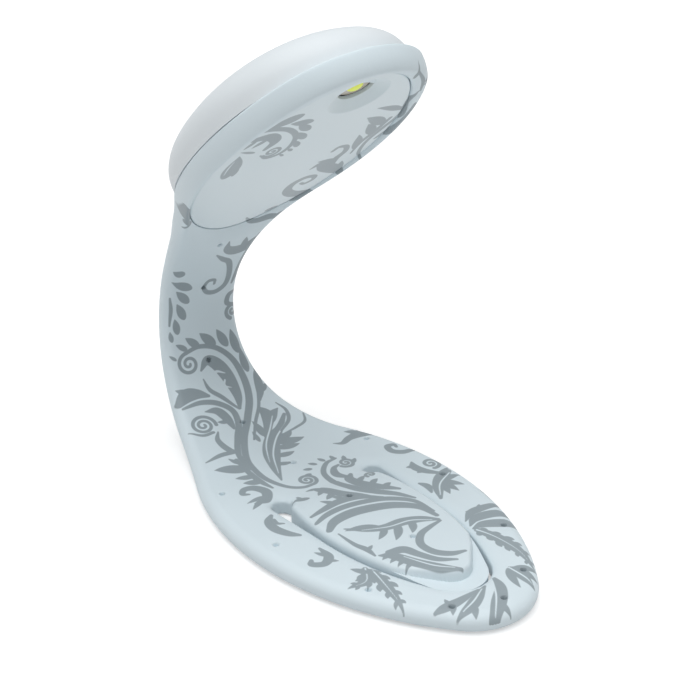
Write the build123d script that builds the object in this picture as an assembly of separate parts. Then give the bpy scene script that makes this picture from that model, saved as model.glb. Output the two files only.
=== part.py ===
from build123d import *
import os
from math import cos, sin, radians, degrees, sqrt

# Flexible clip-on book light, in millimetres.
# +X runs from the neck towards the tip of the clip, +Y across, +Z up.
# The origin is on the underside, on the solid web between the clip's slots and the neck.
# Lengths along the strap are counted from the tip of the clip: 0 at the tip, about 189 at the head's tip.

# Driving dimensions: the strap
strap_thickness = 3.6
edge_round = 1.7
origin_station = 55.0
base_half_width = 23.5
base_wide_station = 41.5
base_side_radius = 56.0
waist_half_width = 8.6
waist_station = 107.0
head_half_width = 19.8
head_wide_station = 159.3
head_side_radius = 43.0
strap_length = 188.7

# Driving dimensions: the bend of the neck, one hinge at the middle of each cell
plate_end_station = 60.0
bend_start_station = 64.0
bend_cells = [14.4, 7.4, 6.8, 7.1, 7.9, 9.1, 17.4]
cell_turn = 20.0
knuckle_clearance = 0.1
nose_trim = 0.6
nose_margin = 0.03

# Driving dimensions: the clip
slit_tip_station = 9.0
slit_wide_station = 36.0
slit_half_width = 11.8
slit_side_radius = 50.0
slit_gap = 0.6
relief_station = 48.4
relief_offset = 10.9
relief_radius = 1.9
slit_edge_round = 1.2
tongue_corner_radius = 1.4

# Driving dimensions: inserts inside the rubber
insert_thickness = 0.8
insert_cover = 1.9
insert_slit_cover = 2.2
spine_width = 7.0
spine_thickness = 0.6
spine_end_wall = 0.8
pin_hole_radius = 0.6
ring_pin_places = [(58.0, 3.61), (38.4, 3.71), (18.6, 2.80), (6.9, 3.23)]
centre_pin_holes = [3.4, 59.3]
tongue_pin_holes = [25.2, 42.4]

# Driving dimensions: the head; depths are measured from the strap's middle surface, front positive
rim_back = -2.7
rim_back_round = 0.9
neck_swell = 3.0
tang_end_gap = 6.0
panel_centre = 23.5
panel_half_length = 28.4
panel_half_width = 17.5
panel_front = 0.9
panel_thickness = 1.2
panel_edge_round = 0.3
panel_gap = 0.15
ledge_width = 3.0
panel_peg_radius = 0.8
panel_peg_length = 1.6
peg_gap = 0.05
led_centre = 44.8
cone_radius = 5.5
cone_depth = 1.3
aperture_radius = 3.15
aperture_wall = 0.6

# Driving dimensions: the housing
housing_centre = 25.05
housing_half_length = 26.5
housing_half_width = 19.4
housing_height = 8.8
housing_wall = 1.3
housing_round = 7.2
frame_thickness = 0.9
frame_gap = 0.3
housing_screw_angle = 70.0
housing_screw_radius = 0.8
housing_screw_head_radius = 1.3
housing_screw_head_height = 0.8
housing_screw_length = 5.2
boss_radius = 1.9
screw_head_recess = 0.1

# Driving dimensions: cells, door, board, switch and button
cell_radius = 10.0
cell_thickness = 3.2
cell_cap_height = 0.4
cell_rim_width = 1.2
cell_rest_gap = 0.07
cell_centre = 20.5
cell_gap = 0.2
cup_wall = 0.9
cup_seat_gap = 0.1
door_radius = 11.25
door_thickness = 1.0
door_gap = 0.15
door_seat_depth = 0.9
door_lug_offset = 13.0
door_lug_radius = 2.75
door_edge_round = 0.3
door_seat_width = 1.6
door_boss_length = 4.0
door_screw_radius = 0.8
door_screw_head_radius = 1.5
door_screw_head_height = 0.6
screw_slot = 0.4
slot_end_wall = 0.3
door_screw_length = 3.6
contact_thickness = 0.25
contact_width = 4.0
contact_slot_gap = 0.15
contact_end_inset = 2.0
contact_leg = 1.0
board_start = 34.0
board_end = 48.5
board_half_width = 8.0
board_thickness = 1.0
board_gap = 0.6
board_edge_gap = 0.7
board_post_radius = 1.0
board_post_inset = (2.0, 1.6)
switch_size = 6.0
switch_height = 2.0
switch_plunger_radius = 1.6
switch_plunger_height = 0.5
button_centre = 41.0
button_radius = 3.2
button_gap = 0.1
button_flange = 0.5
button_flange_thickness = 0.8
button_flange_gap = 0.05
button_round = 0.5
button_stem_radius = 1.4
button_stem_gap = 0.45
button_proud = 0.7
led_radius = 2.5
led_flange_radius = 2.9
led_flange_thickness = 1.0
led_top = -0.6
led_dome_height = 0.9
phosphor_radius = 1.5
phosphor_thickness = 0.3
phosphor_depth = 1.1
lead_size = 0.5
lead_spacing = 2.54
lead_tail = 1.2
lead_top_gap = 0.6
resistor_size = (3.2, 1.6, 0.6)
resistor_place = (36.6, -5.4)

# Values that follow from them; reach is wider than any piece, past is how far a cutter overruns,
# and lengths closer than close count as the same
half_thickness = strap_thickness / 2
rim_front = half_thickness
nose_radius = half_thickness + nose_margin
socket_radius = nose_radius + knuckle_clearance
panel_back = panel_front - panel_thickness
frame_back = rim_back - frame_thickness
housing_back = rim_back - housing_height
door_inside = housing_back + door_thickness
cells_back = door_inside + cell_rest_gap
board_front = frame_back - board_gap
board_back = board_front - board_thickness
cup_back = door_inside + door_seat_depth + cup_seat_gap
cup_outside = cell_radius + cell_gap + cup_wall
reach = 80.0
past = 1.0
close = 0.001


def hollow_radius(run, drop, full_radius):
    """Radius of the hollow arc, level at the waist, that runs into the full side arc."""
    return (run**2 + drop**2 - 2 * drop * full_radius) / (2 * drop)


def end_radius(run, half_width, side_radius):
    """Radius of the arc round an end, run beyond the widest place, that runs into the side arc."""
    centre_drop = side_radius - half_width
    return (side_radius**2 - run**2 - centre_drop**2) / (2 * (side_radius - run))


def along(start, towards, distance):
    """The point at a distance from start on the line through another point."""
    length = sqrt((towards[0] - start[0])**2 + (towards[1] - start[1])**2)
    return (
        start[0] + (towards[0] - start[0]) * distance / length,
        start[1] + (towards[1] - start[1]) * distance / length,
    )


# The strap's half outline: full and hollow arcs that run into each other, as (station, across)
base_end_radius = end_radius(base_wide_station, base_half_width, base_side_radius)
base_end_centre = (base_end_radius, 0)
base_side_centre = (base_wide_station, base_half_width - base_side_radius)
waist_base_radius = hollow_radius(
    waist_station - base_wide_station, base_half_width - waist_half_width, base_side_radius)
waist_base_centre = (waist_station, waist_half_width + waist_base_radius)
waist_head_radius = hollow_radius(
    head_wide_station - waist_station, head_half_width - waist_half_width, head_side_radius)
waist_head_centre = (waist_station, waist_half_width + waist_head_radius)
head_side_centre = (head_wide_station, head_half_width - head_side_radius)
head_end_radius = end_radius(strap_length - head_wide_station, head_half_width, head_side_radius)
head_end_centre = (strap_length - head_end_radius, 0)

base_end_touch = along(base_side_centre, base_end_centre, base_side_radius)[0]
base_waist_touch = along(base_side_centre, waist_base_centre, base_side_radius)[0]
waist_head_touch = along(head_side_centre, waist_head_centre, head_side_radius)[0]
head_end_touch = along(head_side_centre, head_end_centre, head_side_radius)[0]

# Each arc: the station where it ends, its centre, its radius, and 1 if it is full or -1 if hollow
strap_arcs = [
    (base_end_touch, base_end_centre, base_end_radius, 1),
    (base_waist_touch, base_side_centre, base_side_radius, 1),
    (waist_station, waist_base_centre, waist_base_radius, -1),
    (waist_head_touch, waist_head_centre, waist_head_radius, -1),
    (head_end_touch, head_side_centre, head_side_radius, 1),
    (strap_length, head_end_centre, head_end_radius, 1),
]


def half_width(station):
    """Half the strap's width at a station, nothing at its two tips."""
    if not 0 < station < strap_length:
        return 0.0
    for last, centre, radius, sense in strap_arcs:
        if station <= last:
            break
    return centre[1] + sense * sqrt(max(radius**2 - (station - centre[0])**2, 0))


def strap_face(first, last, place):
    """The flat strap between two stations; place turns a station into a distance along the plane."""
    edges = []
    start = first
    for arc_end, _, _, _ in strap_arcs:
        end = min(arc_end, last)
        if end <= start:
            continue
        middle = (start + end) / 2
        for side in (1, -1):
            edges.append(ThreePointArc(*[
                (place(s), side * half_width(s)) for s in (start, middle, end)]))
        start = end
    for s in (first, last):
        if 0 < s < strap_length:
            edges.append(Line((place(s), half_width(s)), (place(s), -half_width(s))))
    return make_face(edges)


def flat_place(station):
    """Where a station of the flat base lies along X."""
    return origin_station - station


# The bend of the strap: straight, then one arc for each cell, then straight again
head_start_station = bend_start_station + sum(bend_cells)


def strap_point(station):
    """Place of the strap's middle surface and its heading above the ground, in radians."""
    x = flat_place(min(station, bend_start_station))
    z = half_thickness
    heading = 0.0
    start = bend_start_station
    for length in bend_cells:
        run = min(max(station - start, 0), length)
        turn = radians(cell_turn) * run / length
        chord = run if turn == 0 else 2 * sin(turn / 2) * run / turn
        x -= chord * cos(heading + turn / 2)
        z += chord * sin(heading + turn / 2)
        heading += turn
        start += length
    run = max(station - start, 0)
    return x - run * cos(heading), z + run * sin(heading), heading


def across_plane(station):
    """Plane across the strap at a station, its X along the object's Y, its Z towards the head."""
    x, z, heading = strap_point(station)
    return Plane(origin=(x, 0, z), x_dir=(0, 1, 0), z_dir=(-cos(heading), 0, sin(heading)))


def hinge_roller(station, radius):
    """Cylinder across the strap round the hinge line at a station."""
    x, z, _ = strap_point(station)
    return Plane(origin=(x, 0, z), x_dir=(1, 0, 0), z_dir=(0, 1, 0)).location * Cylinder(radius, reach)


def clip_side_of(station):
    """Block that holds everything on the clip's side of the plane across the strap."""
    return across_plane(station).location * Pos(0, 0, -reach / 2) * Box(reach, reach, reach)


def rubber_section(station):
    """The strap's section at a station, a bar with rounded edges."""
    return across_plane(station) * RectangleRounded(2 * half_width(station), strap_thickness, edge_round)


def rubber_run(first, last):
    """Stretch of the strap with rounded edges, lofted along its bend."""
    return loft([rubber_section(first + (last - first) * i / 5) for i in range(6)])


def steel_run(first, last):
    """Stretch of the steel strip in the middle of the strap."""
    return loft([
        across_plane(s) * Rectangle(spine_width, spine_thickness)
        for s in (first, (first + last) / 2, last)])


hinge_stations = []
cell_start = bend_start_station
for cell_length in bend_cells:
    hinge_stations.append(cell_start + cell_length / 2)
    cell_start += cell_length
spine_start_gap = spine_end_wall - nose_radius
spine_end_gap = socket_radius + spine_end_wall


# The clip's slit: two side arcs and one round the tip, the same centres for its two walls
slit_tip_radius = end_radius(slit_wide_station - slit_tip_station, slit_half_width, slit_side_radius)
slit_tip_centre = (slit_tip_station + slit_tip_radius, 0)
slit_side_centre = (slit_wide_station, slit_half_width - slit_side_radius)


def leaf_edges(inset, last):
    """Both sides of the leaf, inset from the middle of the slit, as far as a station."""
    radius = slit_side_radius - inset
    tip_radius = slit_tip_radius - inset
    touch = along(slit_side_centre, slit_tip_centre, radius)
    tip = slit_tip_station + inset

    def tip_half(s):
        return sqrt(max(tip_radius**2 - (s - slit_tip_centre[0])**2, 0))

    def side_half(s):
        return slit_side_centre[1] + sqrt(radius**2 - (s - slit_side_centre[0])**2)

    edges = []
    for side in (1, -1):
        tip_middle = (tip + touch[0]) / 2
        edges.append(ThreePointArc(
            (flat_place(tip), 0), (flat_place(tip_middle), side * tip_half(tip_middle)),
            (flat_place(touch[0]), side * touch[1])))
        side_middle = (touch[0] + last) / 2
        edges.append(ThreePointArc(
            (flat_place(touch[0]), side * touch[1]),
            (flat_place(side_middle), side * side_half(side_middle)),
            (flat_place(last), side * side_half(last))))
    return edges, side_half(last)


root_half_width = relief_offset - relief_radius
relief_outer = relief_offset + relief_radius


def slit_opening():
    """Hole in the ring: the leaf and its slit, opening into a round relief at each root."""
    edges, wide = leaf_edges(-slit_gap / 2, slit_wide_station)
    root_x = flat_place(relief_station)
    for side in (1, -1):
        edges.append(Line((flat_place(slit_wide_station), side * wide), (root_x, side * relief_outer)))
        edges.append(ThreePointArc(
            (root_x, side * relief_outer), (root_x - relief_radius, side * relief_offset),
            (root_x, side * root_half_width)))
    edges.append(Line((root_x, root_half_width), (root_x, -root_half_width)))
    return make_face(edges)


def upright(face, low, high):
    """Flat face raised between two heights."""
    return Pos(0, 0, low) * extrude(face, amount=high - low, dir=(0, 0, 1))


def pin_holes(places, bottom):
    """Round holes that the mould's pins leave in the rubber, from the top down to the insert."""
    holes = Part()
    depth = strap_thickness - bottom
    for s, y in places:
        holes += Pos(flat_place(s), y, bottom + depth / 2) * Cylinder(pin_hole_radius, depth)
    return holes


insert_bottom = half_thickness - insert_thickness / 2
insert_top = half_thickness + insert_thickness / 2


def round_edges(solid, chosen, radius):
    """Rounds those level edges of a solid that are chosen by the place of their middle."""
    level = [e for e in solid.edges() if e.bounding_box().size.Z < close and chosen(e @ 0.5)]
    return fillet(level, radius)


# Base: ring, web and the start of the neck
def base_core():
    """Steel ring inside the rubber, with the root of the spine strip."""
    outer = offset(strap_face(0, plate_end_station, flat_place), amount=-insert_cover)
    inner = offset(slit_opening(), amount=insert_slit_cover)
    ring = upright(outer - inner, insert_bottom, insert_top)
    return ring + steel_run(plate_end_station - 2 * insert_cover, hinge_stations[0] - spine_end_gap)


def base_cover(core):
    """Rubber ring with its slit, moulded over the core, as far as the first hinge."""
    plate = upright(strap_face(0, plate_end_station, flat_place), 0, strap_thickness)
    end_x = flat_place(plate_end_station)
    plate = round_edges(plate, lambda p: p.X > end_x + close, edge_round)
    plate_end = plate.faces().sort_by(Axis.X)[0]
    plate -= upright(slit_opening(), -past, strap_thickness + past)
    root_x = flat_place(relief_station)
    tip_x = flat_place(slit_tip_station)

    def on_slit(p):
        lengthwise = root_x - relief_radius - slit_gap < p.X < tip_x + slit_gap
        return lengthwise and close < abs(p.Y) < relief_outer + slit_gap

    plate = round_edges(plate, on_slit, slit_edge_round)
    first, last = plate_end_station, hinge_stations[0]
    sections = [rubber_section(first + (last - first) * i / 3) for i in (1, 2, 3)]
    cover = plate + loft([plate_end] + sections)
    cover -= hinge_roller(hinge_stations[0], socket_radius)
    cover -= tongue_roller(socket_radius, relief_offset)
    mirrored = [(s, side * (half_width(s) - inset)) for s, inset in ring_pin_places for side in (1, -1)]
    cover -= pin_holes(mirrored + [(s, 0) for s in centre_pin_holes], insert_top)
    return cover - core


def tongue_roller(radius, half_length):
    """Cylinder round the tongue's bending line, across its root."""
    place = Plane(origin=(flat_place(relief_station), 0, half_thickness), x_dir=(1, 0, 0), z_dir=(0, 1, 0))
    return place.location * Cylinder(radius, 2 * half_length)


# Tongue of the page clip
def tongue_face():
    """Flat leaf, as far as its bending line, narrowed by the two reliefs."""
    edges, wide = leaf_edges(slit_gap / 2, relief_station)
    root_x = flat_place(relief_station)
    edges.append(Line((root_x, wide), (root_x, -wide)))
    face = make_face(edges)
    for side in (1, -1):
        face -= Pos(root_x, side * relief_offset) * Circle(relief_radius)
    corners = [v for v in face.vertices()
               if abs(v.Y) > root_half_width + close and v.X < root_x + relief_radius]
    return fillet(corners, tongue_corner_radius)


def tongue_core():
    """Steel plate inside the tongue."""
    block = Pos(flat_place(relief_station) + spine_end_wall, 0) * Rectangle(
        reach, reach, align=(Align.MIN, Align.CENTER))
    return upright(offset(tongue_face(), amount=-insert_slit_cover) & block, insert_bottom, insert_top)


def clip_tongue(core):
    """Rubber leaf with the rounded knuckle at its root."""
    plate = upright(tongue_face(), 0, strap_thickness)
    root_x = flat_place(relief_station)
    plate = round_edges(plate, lambda p: p.X > root_x + close, slit_edge_round)
    nose_reach = nose_radius + nose_trim
    nose_width = 2 * (root_half_width - slit_edge_round)
    behind = Pos(root_x, 0, half_thickness) * Box(nose_reach, nose_width, reach,
                                                  align=(Align.MAX, Align.CENTER, Align.CENTER))
    nose = behind & upright(Pos(root_x, 0) * Rectangle(reach, reach), 0, strap_thickness)
    tongue = plate + (nose & tongue_roller(nose_radius, relief_offset))
    tongue -= pin_holes([(s, 0) for s in tongue_pin_holes], insert_top)
    return tongue - core


# Neck: six links, each with a rounded nose towards the base and a hollow socket towards the head
def neck_link(number, spine):
    """Rubber link between two hinges."""
    first, last = hinge_stations[number], hinge_stations[number + 1]
    link = rubber_run(first - nose_radius - nose_trim, last)
    link -= clip_side_of(first) - hinge_roller(first, nose_radius)
    link -= hinge_roller(last, socket_radius)
    return link - spine


def spine_link(number):
    """Stretch of the steel spine inside one link."""
    first, last = hinge_stations[number], hinge_stations[number + 1]
    return steel_run(first + spine_start_gap, last - spine_end_gap)


# Head, in its own plane: X along the strap, Z towards the printed front
head_x, head_z, head_heading = strap_point(head_start_station)
head_plane = Plane(
    origin=(head_x, 0, head_z),
    x_dir=(-cos(head_heading), 0, sin(head_heading)),
    z_dir=(sin(head_heading), 0, cos(head_heading)),
)


def head_place(station):
    """Where a station of the straight head lies along its plane."""
    return station - head_start_station


def on_head(solid):
    """A piece made in the head's plane, put where the head is."""
    return head_plane.location * solid


def oval(centre, long_radius, short_radius, low, high):
    """Upright oval block in the head's plane."""
    return upright(Pos(centre, 0) * Ellipse(long_radius, short_radius), low, high)


def round_post(x, y, radius, low, high):
    """Upright round post in the head's plane."""
    return Pos(x, y, (low + high) / 2) * Cylinder(radius, high - low)


peg_places = [(panel_centre, side * (panel_half_width - ledge_width / 2)) for side in (1, -1)]
housing_screw_places = [
    (panel_centre + lengthwise * (panel_half_length - ledge_width / 2) * cos(radians(housing_screw_angle)),
     crosswise * (panel_half_width - ledge_width / 2) * sin(radians(housing_screw_angle)))
    for lengthwise in (1, -1) for crosswise in (1, -1)]


def head_tang():
    """End of the steel spine, held in the head's rubber below the front panel."""
    return steel_run(hinge_stations[-1] + spine_start_gap, head_start_station - tang_end_gap)


def head_rim(tang):
    """Rubber flange round the head, with the last stretch of the neck."""
    flange = upright(strap_face(head_start_station, strap_length, head_place), rim_back, rim_front)
    for level, rounding in ((rim_front, edge_round), (rim_back, rim_back_round)):
        flange = round_edges(
            flange, lambda p, level=level: abs(p.Z - level) < close and p.X > close, rounding)
    flange = on_head(flange)
    flange_end = flange.faces().filter_by(GeomType.PLANE).sort_by_distance(head_plane.origin)[0]
    first, last = hinge_stations[-1] - nose_radius - nose_trim, head_start_station - neck_swell
    sections = [rubber_section(first + (last - first) * i / 4) for i in range(5)]
    neck = loft(sections + [flange_end])
    neck -= clip_side_of(hinge_stations[-1]) - hinge_roller(hinge_stations[-1], nose_radius)
    rim = neck + flange
    seat = oval(panel_centre, panel_half_length + panel_gap, panel_half_width + panel_gap,
                panel_back, rim_front + past)
    opening = oval(panel_centre, panel_half_length - ledge_width, panel_half_width - ledge_width,
                   rim_back - past, rim_front)
    rim -= on_head(seat + opening)
    for x, y in peg_places:
        rim -= on_head(round_post(x, y, panel_peg_radius + peg_gap, panel_back - panel_peg_length, 0))
    for x, y in housing_screw_places:
        rim -= on_head(round_post(x, y, housing_screw_radius + peg_gap, rim_back - past, 0))
        rim -= on_head(round_post(x, y, housing_screw_head_radius + peg_gap,
                                  panel_back - housing_screw_head_height, 0))
    return rim - tang


def front_panel():
    """Rigid oval panel with the lamp's cone and two pegs."""
    panel = oval(panel_centre, panel_half_length, panel_half_width, panel_back, panel_front)
    panel = round_edges(panel, lambda p: abs(p.Z - panel_front) < close, panel_edge_round)
    cone_bottom = panel_front - cone_depth
    boss_bottom = cone_bottom - aperture_wall
    panel += round_post(led_centre, 0, aperture_radius + aperture_wall, boss_bottom, panel_back)
    cone = Pos(led_centre, 0, (panel_front + cone_bottom) / 2) * Cone(
        aperture_radius, cone_radius, cone_depth)
    panel -= cone
    panel -= round_post(led_centre, 0, aperture_radius, boss_bottom - past, panel_front)
    for x, y in peg_places:
        panel += round_post(x, y, panel_peg_radius, panel_back - panel_peg_length + peg_gap, panel_back)
    return panel


def led_body():
    """Clear 5 mm lamp with its collar and domed end."""
    shoulder = led_top - led_dome_height
    body = round_post(led_centre, 0, led_radius, board_front, shoulder)
    body += round_post(led_centre, 0, led_flange_radius, board_front, board_front + led_flange_thickness)
    ball_radius = (led_radius**2 + led_dome_height**2) / (2 * led_dome_height)
    ball = Pos(led_centre, 0, led_top - ball_radius) * Sphere(ball_radius)
    body += ball & round_post(led_centre, 0, led_radius, shoulder, led_top)
    return body - led_phosphor() - led_leads()


def led_phosphor():
    """Yellow disc over the chip, inside the lamp."""
    top = led_top - phosphor_depth
    return round_post(led_centre, 0, phosphor_radius, top - phosphor_thickness, top)


def led_leads():
    """Two square wires from the lamp through the board."""
    top = led_top - phosphor_depth - phosphor_thickness - lead_top_gap
    bottom = board_back - lead_tail
    leads = Part()
    for side in (1, -1):
        leads += Pos(led_centre, side * lead_spacing / 2, (top + bottom) / 2) * Box(
            lead_size, lead_size, top - bottom)
    return leads


def circuit_board():
    """Small board behind the frame, cut to the housing's oval."""
    outline = Pos((board_start + board_end) / 2, 0) * Rectangle(
        board_end - board_start, 2 * board_half_width)
    wall = housing_wall + frame_gap + board_edge_gap
    outline &= Pos(housing_centre, 0) * Ellipse(housing_half_length - wall, housing_half_width - wall)
    board = upright(outline, board_back, board_front)
    for side in (1, -1):
        board -= Pos(led_centre, side * lead_spacing / 2, (board_front + board_back) / 2) * Box(
            lead_size, lead_size, board_thickness + past)
    return board


def resistor():
    """Chip resistor on the back of the board."""
    length, width, height = resistor_size
    return Pos(resistor_place[0], resistor_place[1], board_back - height / 2) * Box(width, length, height)


def tact_switch():
    """Push switch on the back of the board, with its round plunger."""
    body = Pos(button_centre, 0, board_back - switch_height / 2) * Box(
        switch_size, switch_size, switch_height)
    bottom = board_back - switch_height
    return body + round_post(button_centre, 0, switch_plunger_radius,
                             bottom - switch_plunger_height, bottom)


def inner_frame():
    """Plate behind the rim, with the cup that holds the coin cells and posts for the board."""
    wall = housing_wall + frame_gap
    plate = oval(housing_centre, housing_half_length - wall, housing_half_width - wall,
                 frame_back, rim_back)
    cup = round_post(cell_centre, 0, cup_outside, cup_back, frame_back)
    cup -= round_post(cell_centre, 0, cell_radius + cell_gap, cup_back - past, frame_back)
    frame = plate + cup
    frame -= round_post(led_centre, 0, aperture_radius + aperture_wall + frame_gap,
                        frame_back - past, rim_back + past)
    for x, y in housing_screw_places:
        frame -= round_post(x, y, housing_screw_radius + peg_gap, frame_back - past, rim_back + past)
    post_x, post_y = board_start + board_post_inset[0], board_half_width - board_post_inset[1]
    for side in (1, -1):
        frame += round_post(post_x, side * post_y, board_post_radius, board_front, frame_back)
    frame -= positive_slot()
    return frame


def positive_slot():
    """Slot in the cup's wall for the contact that touches the outer cell's rim."""
    inside = cell_radius + cell_gap
    return Pos(cell_centre, inside, (cup_back + frame_back) / 2) * Box(
        contact_width + 2 * contact_slot_gap, 2 * contact_slot_gap + 2 * contact_thickness,
        frame_back - cup_back)


def coin_cell(back):
    """One lithium coin cell: a can with a narrower cap on the other face."""
    cell = round_post(cell_centre, 0, cell_radius, back, back + cell_thickness - cell_cap_height)
    return cell + round_post(cell_centre, 0, cell_radius - cell_rim_width, back, back + cell_thickness)


def contact_negative():
    """Spring plate under the stack of cells, bent up to the frame at its two ends."""
    top = cells_back + 2 * cell_thickness
    half_length = cell_radius - contact_end_inset
    strip = Pos(cell_centre, 0, top + contact_thickness / 2) * Box(
        2 * half_length, contact_width, contact_thickness)
    for side in (1, -1):
        strip += Pos(cell_centre + side * (half_length - contact_leg / 2), 0, (top + frame_back) / 2) * Box(
            contact_leg, contact_width, frame_back - top)
    return strip


def contact_positive():
    """Strip beside the stack that touches the outer cell's rim and stands on the frame."""
    low = cup_back + contact_slot_gap
    return Pos(cell_centre, cell_radius + contact_thickness / 2, (low + frame_back) / 2) * Box(
        contact_width, contact_thickness, frame_back - low)


def housing_block(inset):
    """The housing's domed block, or the same shape inset for its inside."""
    block = oval(housing_centre, housing_half_length - inset, housing_half_width - inset,
                 housing_back + inset, rim_back)
    back = housing_back + inset
    return round_edges(block, lambda p: abs(p.Z - back) < close, housing_round - inset)


lug_place = cell_centre + door_lug_offset


def door_block(gap, low, high):
    """The door's outline, a disc that narrows to a lug for the screw, raised between two heights."""
    disc = Pos(cell_centre, 0) * Circle(door_radius + gap)
    lug = Pos(lug_place, 0) * Circle(door_lug_radius + gap)
    return upright(make_hull(disc.edges() + lug.edges()), low, high)


def rear_housing():
    """Domed shell with screw bosses, the door's seat and the button's hole."""
    outside = housing_block(0)
    shell = outside - housing_block(housing_wall)
    posts = Part()
    for x, y in housing_screw_places:
        posts += round_post(x, y, boss_radius, housing_back, frame_back)
    posts += round_post(lug_place, 0, door_lug_radius, housing_back, door_inside + door_boss_length)
    posts += round_post(cell_centre, 0, door_radius + door_seat_width, housing_back,
                        door_inside + door_seat_depth)
    shell += posts & outside
    shell -= door_block(door_gap, housing_back - past, door_inside)
    shell -= round_post(cell_centre, 0, cell_radius + cell_gap, housing_back - past,
                        door_inside + door_seat_depth + past)
    shell -= round_post(cell_centre, 0, cup_outside + door_gap, door_inside + door_seat_depth, frame_back)
    shell -= round_post(lug_place, 0, door_screw_radius + peg_gap, housing_back,
                        door_inside + door_boss_length)
    shell -= round_post(button_centre, 0, button_radius + button_gap, housing_back - past, frame_back)
    for x, y in housing_screw_places:
        shell -= round_post(x, y, housing_screw_radius, housing_screw_end, frame_back)
    return shell


housing_screw_top = panel_back - housing_screw_head_height
housing_screw_end = housing_screw_top - housing_screw_length


def screw_head(x, y, radius, low, high, slot_face):
    """Round screw head with one slot across the face at a height."""
    head = round_post(x, y, radius, low, high)
    return head - Pos(x, y, slot_face) * Box(2 * (radius - slot_end_wall), screw_slot, screw_slot)


def housing_screws():
    """Four screws through the rim's ledge and the frame into the housing's bosses."""
    screws = Part()
    slot_face = panel_back - screw_head_recess
    for x, y in housing_screw_places:
        screws += screw_head(x, y, housing_screw_head_radius, housing_screw_top, slot_face, slot_face)
        screws += round_post(x, y, housing_screw_radius, housing_screw_end, housing_screw_top)
    return screws


def battery_door():
    """Flush door over the cells, with a recessed hole for its screw."""
    door = door_block(0, housing_back, door_inside)
    door = round_edges(door, lambda p: abs(p.Z - housing_back) < close, door_edge_round)
    door -= round_post(lug_place, 0, door_screw_head_radius + peg_gap, housing_back - past,
                       housing_back + door_screw_head_height)
    return door - round_post(lug_place, 0, door_screw_radius + peg_gap, housing_back, door_inside)


def door_screw():
    """Captive screw of the door."""
    under_head = housing_back + door_screw_head_height
    screw = screw_head(lug_place, 0, door_screw_head_radius, housing_back, under_head, housing_back)
    return screw + round_post(lug_place, 0, door_screw_radius, under_head, under_head + door_screw_length)


def power_button():
    """Round button with a flange inside the shell and a stem towards the switch."""
    inside = housing_back + housing_wall + button_flange_gap
    top = housing_back - button_proud
    cap = round_post(button_centre, 0, button_radius, top, inside)
    cap = round_edges(cap, lambda p: abs(p.Z - top) < close, button_round)
    cap += round_post(button_centre, 0, button_radius + button_flange, inside,
                      inside + button_flange_thickness)
    plunger_end = board_back - switch_height - switch_plunger_height
    return cap + round_post(button_centre, 0, button_stem_radius, inside, plunger_end - button_stem_gap)


# The whole light, node by node
nodes = {}
nodes["base_core"] = base_core()
nodes["base_cover"] = base_cover(nodes["base_core"])
nodes["tongue_core"] = tongue_core()
nodes["clip_tongue"] = clip_tongue(nodes["tongue_core"])
for number in range(len(hinge_stations) - 1):
    spine = spine_link(number)
    nodes[f"spine_link_{number + 1}"] = spine
    nodes[f"neck_link_{number + 1}"] = neck_link(number, spine)
nodes["head_tang"] = head_tang()
nodes["head_rim"] = head_rim(nodes["head_tang"])

head_pieces = {
    "front_panel": front_panel(),
    "led_body": led_body(),
    "led_phosphor": led_phosphor(),
    "led_leads": led_leads(),
    "circuit_board": circuit_board(),
    "resistor": resistor(),
    "tact_switch": tact_switch(),
    "inner_frame": inner_frame(),
    "coin_cell_outer": coin_cell(cells_back),
    "coin_cell_inner": coin_cell(cells_back + cell_thickness),
    "contact_negative": contact_negative(),
    "contact_positive": contact_positive(),
    "rear_housing": rear_housing(),
    "housing_screws": housing_screws(),
    "battery_door": battery_door(),
    "door_screw": door_screw(),
    "power_button": power_button(),
}
for name, piece in head_pieces.items():
    nodes[name] = on_head(piece)

os.makedirs("parts", exist_ok=True)
for name, piece in nodes.items():
    export_step(piece, f"parts/{name}.step")

for number, station in enumerate(hinge_stations):
    x, z, heading = strap_point(station)
    print(f"hinge {number + 1}: x {x:.3f} z {z:.3f} heading {degrees(heading):.1f}")
print(f"tongue bend: x {flat_place(relief_station):.3f} z {half_thickness:.3f}")
print(f"head: x {head_x:.3f} z {head_z:.3f} heading {degrees(head_heading):.2f}")
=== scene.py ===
import math
import bmesh
import bpy
import numpy as np
from mathutils import Matrix, Vector
from mathutils.geometry import delaunay_2d_cdt


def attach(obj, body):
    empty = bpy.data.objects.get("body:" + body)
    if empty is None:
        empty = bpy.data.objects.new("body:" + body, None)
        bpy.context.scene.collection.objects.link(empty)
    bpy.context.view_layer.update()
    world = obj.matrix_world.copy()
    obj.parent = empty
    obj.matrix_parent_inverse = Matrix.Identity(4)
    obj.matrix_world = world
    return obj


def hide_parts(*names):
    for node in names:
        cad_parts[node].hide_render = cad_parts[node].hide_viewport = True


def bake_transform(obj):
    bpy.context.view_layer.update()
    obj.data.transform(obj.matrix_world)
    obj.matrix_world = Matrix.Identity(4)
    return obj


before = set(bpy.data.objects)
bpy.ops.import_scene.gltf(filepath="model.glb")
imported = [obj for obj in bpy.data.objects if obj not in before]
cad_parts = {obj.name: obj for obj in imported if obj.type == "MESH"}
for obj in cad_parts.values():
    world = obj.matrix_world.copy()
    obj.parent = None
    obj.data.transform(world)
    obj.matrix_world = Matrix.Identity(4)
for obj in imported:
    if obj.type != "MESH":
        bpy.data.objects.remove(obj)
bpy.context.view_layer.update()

# Clip ring: the strap's broad end, soft silicone rubber moulded over a steel plate.
# It lies flat on the page and carries the first part of the grey scroll print, which
# was laid over the whole strap in one pass. Its slit leaves the tongue free.
millimetre = 0.001
strap_length = 188.7
thickness = 3.6
flat_origin = 55.0
bend_start = 64.0
bend_cells = (14.4, 7.4, 6.8, 7.1, 7.9, 9.1, 17.4)
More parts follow.
